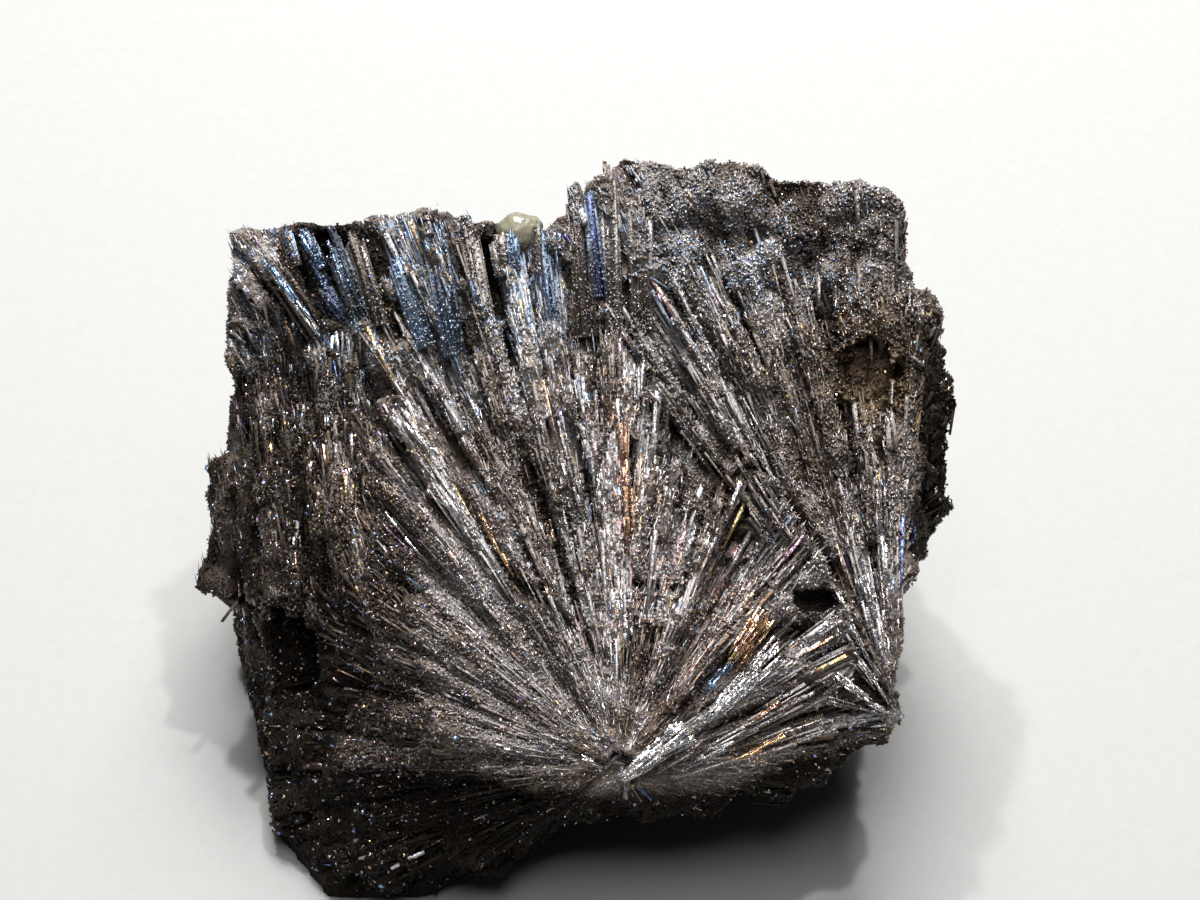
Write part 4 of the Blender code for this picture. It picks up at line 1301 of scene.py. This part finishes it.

# %% [markdown]
# ## The crystals one remembers
# Some crystals stand out from all the rest: the silver sheaves near the start of the fan, the copper ones
# beside them, the white spikes at the corner and the blue blades in the open pocket. Each sheaf is placed
# one by one, with its root and tip on the fan face.

# %% Sheaves placed one by one
# Root and tip across, up and out; blades, spread at the root and at the tip; width; film; lustre.
SHEAVES = [
    ((6.0, 3.0, 0.5), (13.0, 9.6, 0.9), 64, 0.35, 1.15, 0.30, 0.10, 1.0),
    ((0.0, -1.0, 0.4), (5.4, 3.0, 0.7), 46, 0.30, 1.20, 0.34, 0.05, 1.0),
    ((2.2, -1.1, 0.1), (18.2, 7.6, 0.3), 26, 0.4, 1.3, 0.30, 0.26, 0.4),
    ((4.0, -0.8, 0.0), (17.0, 3.4, 0.3), 16, 0.4, 1.1, 0.28, 0.29, 0.3),
    ((5.6, 0.6, 0.4), (9.0, 2.0, 0.6), 9, 0.2, 0.35, 0.28, 0.10, 0.9),
    ((8.8, 0.4, 0.5), (13.0, 2.6, 0.7), 12, 0.12, 0.26, 0.24, 0.60, 1.0),
    ((9.0, 2.8, 0.4), (13.4, 5.6, 0.6), 9, 0.12, 0.26, 0.24, 0.66, 0.8),
    ((6.6, 5.6, 0.6), (8.8, 8.4, 0.9), 12, 0.25, 0.40, 0.28, 0.93, 0.6),
    ((8.2, 7.8, 0.9), (11.5, 12.3, 1.5), 26, 0.35, 0.75, 0.28, 0.63, 0.9),
    ((9.0, 7.6, 0.5), (12.2, 11.8, 1.0), 10, 0.15, 0.30, 0.26, 0.62, 0.9),
    ((-0.8, 3.4, 0.3), (-1.9, 7.2, 0.6), 8, 0.15, 0.30, 0.26, 0.12, 1.0),
    ((-0.6, 1.6, 0.3), (-0.9, 3.6, 0.5), 3, 0.10, 0.15, 0.20, 0.60, 1.0),
    ((0.8, 9.0, 0.2), (0.0, 14.0, 0.5), 12, 0.40, 0.70, 0.34, 0.14, 0.8),
    ((-1.2, 0.2, 0.5), (-3.4, 1.0, 0.7), 6, 0.20, 0.30, 0.26, 0.04, 1.0),
    ((-7.2, 1.2, 0.4), (-10.6, 1.7, 0.6), 5, 0.15, 0.25, 0.26, 0.06, 1.0),
    ((0.8, 16.4, 0.3), (0.2, 27.4, 0.6), 22, 0.45, 0.50, 0.36, 0.65, 0.5),
    ((-8.4, 14.8, 0.3), (-11.4, 20.8, 0.5), 7, 0.15, 0.25, 0.26, 0.63, 0.7),
    ((-5.2, 17.5, 0.2), (-5.8, 19.6, 0.4), 6, 0.25, 0.30, 0.30, 0.65, 0.9),
    ((-2.8, 19.0, 0.2), (-4.8, 27.6, 0.5), 12, 0.40, 0.60, 0.34, 0.30, 0.5),
    ((-15.4, 16.4, 0.3), (-18.8, 20.2, 0.5), 5, 0.15, 0.20, 0.26, 0.12, 0.9),
    ((20.2, 5.0, 0.9), (16.9, 7.4, 1.4), 9, 0.12, 0.25, 0.34, 0.05, 1.0),
    ((21.2, 4.3, 0.8), (17.6, 6.3, 1.2), 9, 0.15, 0.30, 0.30, 0.08, 1.0),
    ((21.2, 4.8, 0.8), (19.5, 7.6, 1.4), 7, 0.10, 0.25, 0.28, 0.05, 1.0),
    ((21.3, 7.4, 0.8), (20.9, 10.6, 1.3), 7, 0.10, 0.25, 0.26, 0.07, 0.9),
    ((20.4, 10.8, 0.8), (19.2, 15.2, 1.4), 12, 0.20, 0.45, 0.28, 0.14, 0.9),
    ((19.6, 8.4, 0.8), (17.2, 13.8, 1.3), 10, 0.15, 0.30, 0.26, 0.24, 0.7),
    ((21.4, 5.2, 0.6), (19.2, 16.4, 1.0), 16, 0.30, 0.90, 0.28, 0.20, 0.6),
    ((21.6, 5.6, 0.6), (20.8, 22.0, 1.0), 20, 0.30, 0.80, 0.28, 0.20, 0.6),
    ((14.6, 16.4, 0.5), (6.4, 30.0, 0.8), 24, 0.60, 1.10, 0.30, 0.31, 0.15),
    ((20.6, 6.2, 0.6), (17.2, 12.4, 0.9), 12, 0.25, 0.60, 0.28, 0.28, 0.3),
    ((12.8, 17.0, 0.4), (3.0, 30.6, 0.7), 20, 0.50, 0.90, 0.30, 0.34, 0.12),
    ((21.0, 5.6, 0.6), (17.6, 9.6, 0.9), 10, 0.25, 0.50, 0.28, 0.24, 0.4),
    ((21.2, 4.2, 0.5), (16.4, 5.4, 0.7), 9, 0.25, 0.40, 0.28, 0.26, 0.3),
    ((24.2, 18.6, -6.2), (24.0, 20.2, -5.8), 5, 0.12, 0.20, 0.50, 0.90, 1.0),
    ((26.0, 22.3, -7.9), (26.1, 23.6, -7.4), 4, 0.12, 0.20, 0.40, 0.05, 1.0),
    ((-23.9, 34.3, 1.0), (-27.2, 38.7, 1.1), 7, 0.22, 0.22, 0.36, 0.03, 1.0),
    ((-24.2, 34.8, 1.0), (-28.0, 39.9, 1.2), 9, 0.26, 0.22, 0.36, 0.92, 1.0),
    ((-26.6, 37.8, 1.1), (-28.6, 40.8, 1.2), 5, 0.15, 0.15, 0.40, 0.89, 1.0),
    ((-18.7, 29.3, 0.9), (-14.4, 24.4, 1.1), 5, 0.15, 0.15, 0.40, 0.02, 1.0),
]
print("sheaves:", len(SHEAVES))

# %% [markdown]
# A sheaf is filled with thin blades side by side, arched like the top of a loaf. No blade is as long as its
# sheaf, and in a long sheaf they overlap in several rows, so that they don't look like a comb.

# %% Blades of the sheaves
# In a sheaf longer than this, in millimetres, the blades don't get any longer.
LONG_SHEAF = 13.0
# From this length on the blades have their full width.
FULL_WIDTH_LENGTH = 8
# How much higher the middle of a sheaf is than its sides.
ARCH = 0.5


def sheaf(root, tip, total, root_spread, tip_spread, width, film, lustre):
    """Lay thin blades side by side from a root to a tip."""
    root, tip = np.array(root), np.array(tip)
    length = np.linalg.norm(tip - root)
    sideways = np.cross((0, 0, 1), unit(tip - root))
    lane = between(-1, 1, total)
    last_start = 0.7 if length < LONG_SHEAF else 0.9
    start = chance.random(total) * last_start
    end = np.minimum(start + between(0.15, 0.5, total) * min(1.0, LONG_SHEAF / length), 1.0)
    ends = []
    for along, rise in ((start, -0.3), (end, 0.0)):
        spread = root_spread + (tip_spread - root_spread) * along
        crest = (1 - lane**2) * ARCH + between(-0.15, 0.15, total) + rise
        places = root + (tip - root) * along[:, None] + sideways * (lane * spread)[:, None]
        ends.append(from_fan(places + np.array((0, 0, 1)) * crest[:, None]))
    blade_width = width * between(0.5, 1.0, total) * (0.5 + 0.5 * min(1.0, length / FULL_WIDTH_LENGTH))
    crystals = describe(*ends, np.tile(OUTWARD, (total, 1)), blade_width, between(0.5, 0.9, total),
                        between(0.3, 0.6, total), None, np.clip(lustre + chance.normal(0, 0.08, total), 0, 1))
    crystals["film"] = np.clip(film + chance.normal(0, 0.02, total), 0, 1)
    crystals["own"] = (0.4 + 0.6 * chance.random(total)) * (0.4 + 0.6 * lustre)
    return crystals


sheaves = gathered([sheaf(*row) for row in SHEAVES])
grow("bright_sheaves", sheaves, blade_arrays, FEATURE_FINISH)
grains_over("sheaf_dust", sheaves, 4500, (0.1, 0.26), True)

# %% [markdown]
# ## The open pocket
# Along the top edge at the left the blades stand free, with dark gaps between them. They are thicker than
# elsewhere, and grey or blue with tarnish under a little dust. Three small ones stand in front of the quartz
# grain and hide its lower half.

# %% Pocket blades, listed one by one
# Root across and up, tip across and up, width, height above the face, and film.
POCKET_BLADES = [
    (-24.2, 34.4, -28.8, 41.2, 1.5, 0.1, 0.30), (-25.4, 37.4, -27.6, 43.6, 0.5, -0.8, 0.42),
    (-26.0, 40.4, -27.1, 43.8, 0.5, -0.1, 0.94), (-22.7, 35.2, -25.0, 37.8, 0.6, -1.4, 0.84),
    (-24.0, 40.2, -25.9, 43.6, 0.7, -0.3, 0.97), (-23.6, 38.5, -25.1, 41.2, 0.6, -0.8, 0.93),
    (-21.6, 35.4, -24.2, 38.9, 0.8, -0.7, 0.90), (-20.4, 34.8, -23.5, 43.4, 1.2, 0.3, 0.95),
    (-19.2, 35.4, -21.8, 43.6, 1.2, 0.4, 0.30), (-15.6, 33.6, -18.8, 43.4, 1.4, 0.3, 0.97),
    (-13.2, 33.0, -15.4, 44.8, 1.5, 0.4, 0.96), (-9.6, 30.0, -12.6, 45.0, 1.3, -0.4, 0.28),
    (-7.4, 31.0, -9.6, 42.4, 1.2, -0.9, 0.95), (-4.8, 33.6, -6.6, 43.2, 1.3, 0.2, 0.90),
    (-2.6, 34.4, -3.6, 47.6, 1.5, 0.6, 0.28), (-0.4, 34.0, -1.0, 48.9, 1.1, 0.7, 0.27),
    (1.8, 35.0, 1.6, 46.6, 1.5, 0.2, 0.24), (-9.2, 39.4, -9.8, 43.1, 1.4, 0.7, 0.30),
    (-8.4, 39.8, -8.7, 43.2, 0.7, 0.8, 0.92), (-6.7, 39.6, -6.7, 43.7, 0.5, 0.8, 0.28),
    (-1.5, 37.6, -2.5, 46.2, 0.8, 1.1, 0.92),
]
print("blades in the pocket:", len(POCKET_BLADES))

# %% [markdown]
# Each of these blades is a bundle of thin crystals. It ends in a blunt point, because its outer crystals
# are the shortest.

# %% Crystals of the pocket
PER_BUNDLE = 7
# The share of their length that the outer crystals of a bundle lose, and how dark all of them are.
BUNDLE_POINT = 0.13
POCKET_SHADE = 0.65


def pocket_bundle(root_across, root_up, tip_across, tip_up, width, high, film):
    """Split one free blade into a few long parallel crystals."""
    total = PER_BUNDLE
    sideways = unit(np.array((tip_up - root_up, root_across - tip_across, 0.0)))
    shift = (sideways * (np.linspace(-0.5, 0.5, total) * width)[:, None]
             + np.array((0, 0, 1)) * between(-0.35, 0.25, total)[:, None])
    root = from_fan(np.array((root_across, root_up, high - 0.5)) + shift)
    full = from_fan(np.array((tip_across, tip_up, high - 0.2)) + shift * 1.1)
    reach = between(0.8, 1.02, total) * (1 - BUNDLE_POINT * np.linspace(-1, 1, total) ** 2)
    tip = root + (full - root) * reach[:, None]
    crystals = describe(root, tip, np.tile(OUTWARD, (total, 1)), between(0.2, 0.5, total),
                        between(0.6, 1.0, total), between(0.7, 0.9, total),
                        np.clip(film + chance.normal(0, 0.03, total), 0, 1), between(0.0, 0.5, total))
    crystals["own"] *= POCKET_SHADE
    return crystals


pocket_blades = gathered([pocket_bundle(*row) for row in POCKET_BLADES])
grow("pocket_blades", pocket_blades, blade_arrays, FEATURE_FINISH)
grains_over("pocket_dust", pocket_blades, 7000, (0.1, 0.3), True)

# %% [markdown]
# ## The quartz grain
# One pale, slightly yellow grain of quartz is stuck behind the top edge. It is see-through but cloudy, with
# smooth dents in its faces, and its top is pressed down a little, so that less of it shows. Real glassy stone
# bends light, so the material uses plain transmission with the index of quartz.

# %% Quartz grain
# The size of its faces and how far its top is pressed down, in millimetres.
QUARTZ_VOXEL = 0.16
QUARTZ_SUNK = 0.45
# The size and the height of its dents, in millimetres, and their noise.
QUARTZ_DENTS = ((0.9, 0.10, 31), (0.35, 0.05, 32))

quartz = evaluated_copy(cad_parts["quartz_grain"], "cloudy_quartz", QUARTZ_VOXEL)
count = len(quartz.data.vertices)
grain_shape = read_vectors(quartz.data.vertices, "co", count) / MM
grain_normals = read_vectors(quartz.data.vertex_normals, "vector", count)
grain_push = sum(height * drift(grain_shape, size, seed) for size, height, seed in QUARTZ_DENTS) - 0.03
grain_shape += grain_normals * grain_push[:, None]
grain_up = to_fan(grain_shape)[:, 1]
grain_shape -= UP_SLOPE * (QUARTZ_SUNK * (grain_up - grain_up.min()) / np.ptp(grain_up))[:, None]
quartz.data.vertices.foreach_set("co", (grain_shape * MM).astype(np.float32).ravel())
quartz.data.update()
quartz.data.shade_smooth()
print("quartz faces:", len(quartz.data.polygons))

# %% [markdown]
# Noise makes the quartz cloudy: where it is paler it is rougher too. Fine pits dull its shine.

# %% Quartz material
QUARTZ_INDEX = 1.54
QUARTZ_CLEARNESS = 0.55
PIT_DEPTH = 0.1 * MM

cloudy = bpy.data.materials.new("cloudy_quartz")
cloudy.use_nodes = True
tree = cloudy.node_tree
shader = tree.nodes["Principled BSDF"]
shader.inputs["Transmission Weight"].default_value = QUARTZ_CLEARNESS
shader.inputs["IOR"].default_value = QUARTZ_INDEX
place = add(tree, "TexCoord").outputs["Object"]
clouds = add(tree, "TexNoise", {"Vector": place, "Scale": 900.0, "Detail": 4.0})
# The colours are partly the grain's own yellow grey and partly painted shade, darker than pale quartz, for
# the shade it lies in behind the top edge.
tint = blend_colours(tree, clouds.outputs["Fac"], (0.36, 0.33, 0.21, 1.0), (0.58, 0.56, 0.43, 1.0))
tree.links.new(tint, shader.inputs["Base Color"])
frosted = add(tree, "MapRange", {"Value": clouds.outputs["Fac"], "To Min": 0.12, "To Max": 0.45})
tree.links.new(frosted.outputs[0], shader.inputs["Roughness"])
pits = add(tree, "TexNoise", {"Vector": place, "Scale": 4000.0, "Detail": 3.0})
bump = add(tree, "Bump", {"Height": pits.outputs["Fac"], "Strength": 0.4, "Distance": PIT_DEPTH})
tree.links.new(bump.outputs["Normal"], shader.inputs["Normal"])
quartz.data.materials.clear()
quartz.data.materials.append(cloudy)
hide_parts("quartz_grain")
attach(quartz, "root")
print("quartz finish:", cloudy.name)

# %% [markdown]
# ## Floor
# A plain pale floor keeps the eye on the crystals. It has the faint mottling of paper.

# %% Floor
FLOOR_HALF_SIDE = 3.0

floor_mesh = bpy.data.meshes.new("floor")
shape = bmesh.new()
bmesh.ops.create_grid(shape, x_segments=1, y_segments=1, size=FLOOR_HALF_SIDE)
shape.to_mesh(floor_mesh)
shape.free()
floor = bpy.data.objects.new("floor", floor_mesh)
bpy.context.scene.collection.objects.link(floor)
paper = bpy.data.materials.new("pale_paper")
paper.use_nodes = True
tree = paper.node_tree
shader = tree.nodes["Principled BSDF"]
fibres = add(tree, "TexNoise", {"Vector": add(tree, "TexCoord").outputs["Object"], "Scale": 900.0})
tree.links.new(blend_colours(tree, fibres.outputs["Fac"], (0.40, 0.40, 0.39, 1), (0.44, 0.44, 0.43, 1)),
               shader.inputs["Base Color"])
shader.inputs["Roughness"].default_value = 0.9
floor_mesh.materials.append(paper)
print("floor side in metres:", 2 * FLOOR_HALF_SIDE)

# %% [markdown]
# ## Lights
# The large soft light stands above and behind, so that the fan face glances it towards the viewer. Two small
# ones add the hard white glints that a metallic druse needs: a small light mirrors as a bright point in each
# facet that happens to face it.

# %% Lights
AIM = Vector((0.0, 0.0, 0.018))
# Name, place in metres, side in metres, watts.
LIGHTS = [
    ("window", (0.02, 0.26, 0.42), 0.22, 3.35),
    ("ceiling", (0.02, -0.06, 0.55), 0.30, 1.0),
    ("glint_right", (0.09, 0.10, 0.48), 0.02, 0.8),
    ("glint_back", (-0.08, 0.22, 0.44), 0.02, 0.8),
]
for name, place, side, watts in LIGHTS:
    lamp = bpy.data.lights.new(name, "AREA")
    lamp.size = side
    lamp.energy = watts
    holder = bpy.data.objects.new(name, lamp)
    holder.location = place
    holder.rotation_euler = (AIM - Vector(place)).to_track_quat("-Z", "Y").to_euler()
    bpy.context.scene.collection.objects.link(holder)
print("watts in all:", round(sum(row[-1] for row in LIGHTS), 2))

# %% [markdown]
# ## Surroundings
# A faint bluish glow from all sides lifts the deepest shadows. The Standard view keeps the contrast hard, as
# it is on bright metal.

# %% World
SKY_COLOUR = (0.92, 0.96, 1.0, 1.0)
SKY_STRENGTH = 0.02

bpy.context.scene.view_settings.view_transform = "Standard"
world = bpy.data.worlds.new("studio")
bpy.context.scene.world = world
world.use_nodes = True
sky = world.node_tree.nodes["Background"].inputs
sky["Color"].default_value = SKY_COLOUR
sky["Strength"].default_value = SKY_STRENGTH
print("sky strength:", SKY_STRENGTH)

# %% [markdown]
# ## Camera
# The camera looks down onto the fan face from the front, from close by but with a long lens, so that the two
# fans keep their proportions.

# %% Camera
LENS = 85
SENSOR_WIDTH = 36
CAMERA_PLACE = (0.001202, -0.151203, 0.197948)
CAMERA_TILT = math.radians(42)

camera_data = bpy.data.cameras.new("camera")
camera_data.lens = LENS
camera_data.sensor_width = SENSOR_WIDTH
camera = bpy.data.objects.new("camera", camera_data)
camera.location = CAMERA_PLACE
camera.rotation_euler = (CAMERA_TILT, 0, 0)
bpy.context.scene.collection.objects.link(camera)
bpy.context.scene.camera = camera
print("camera tilt in degrees:", round(math.degrees(CAMERA_TILT)))
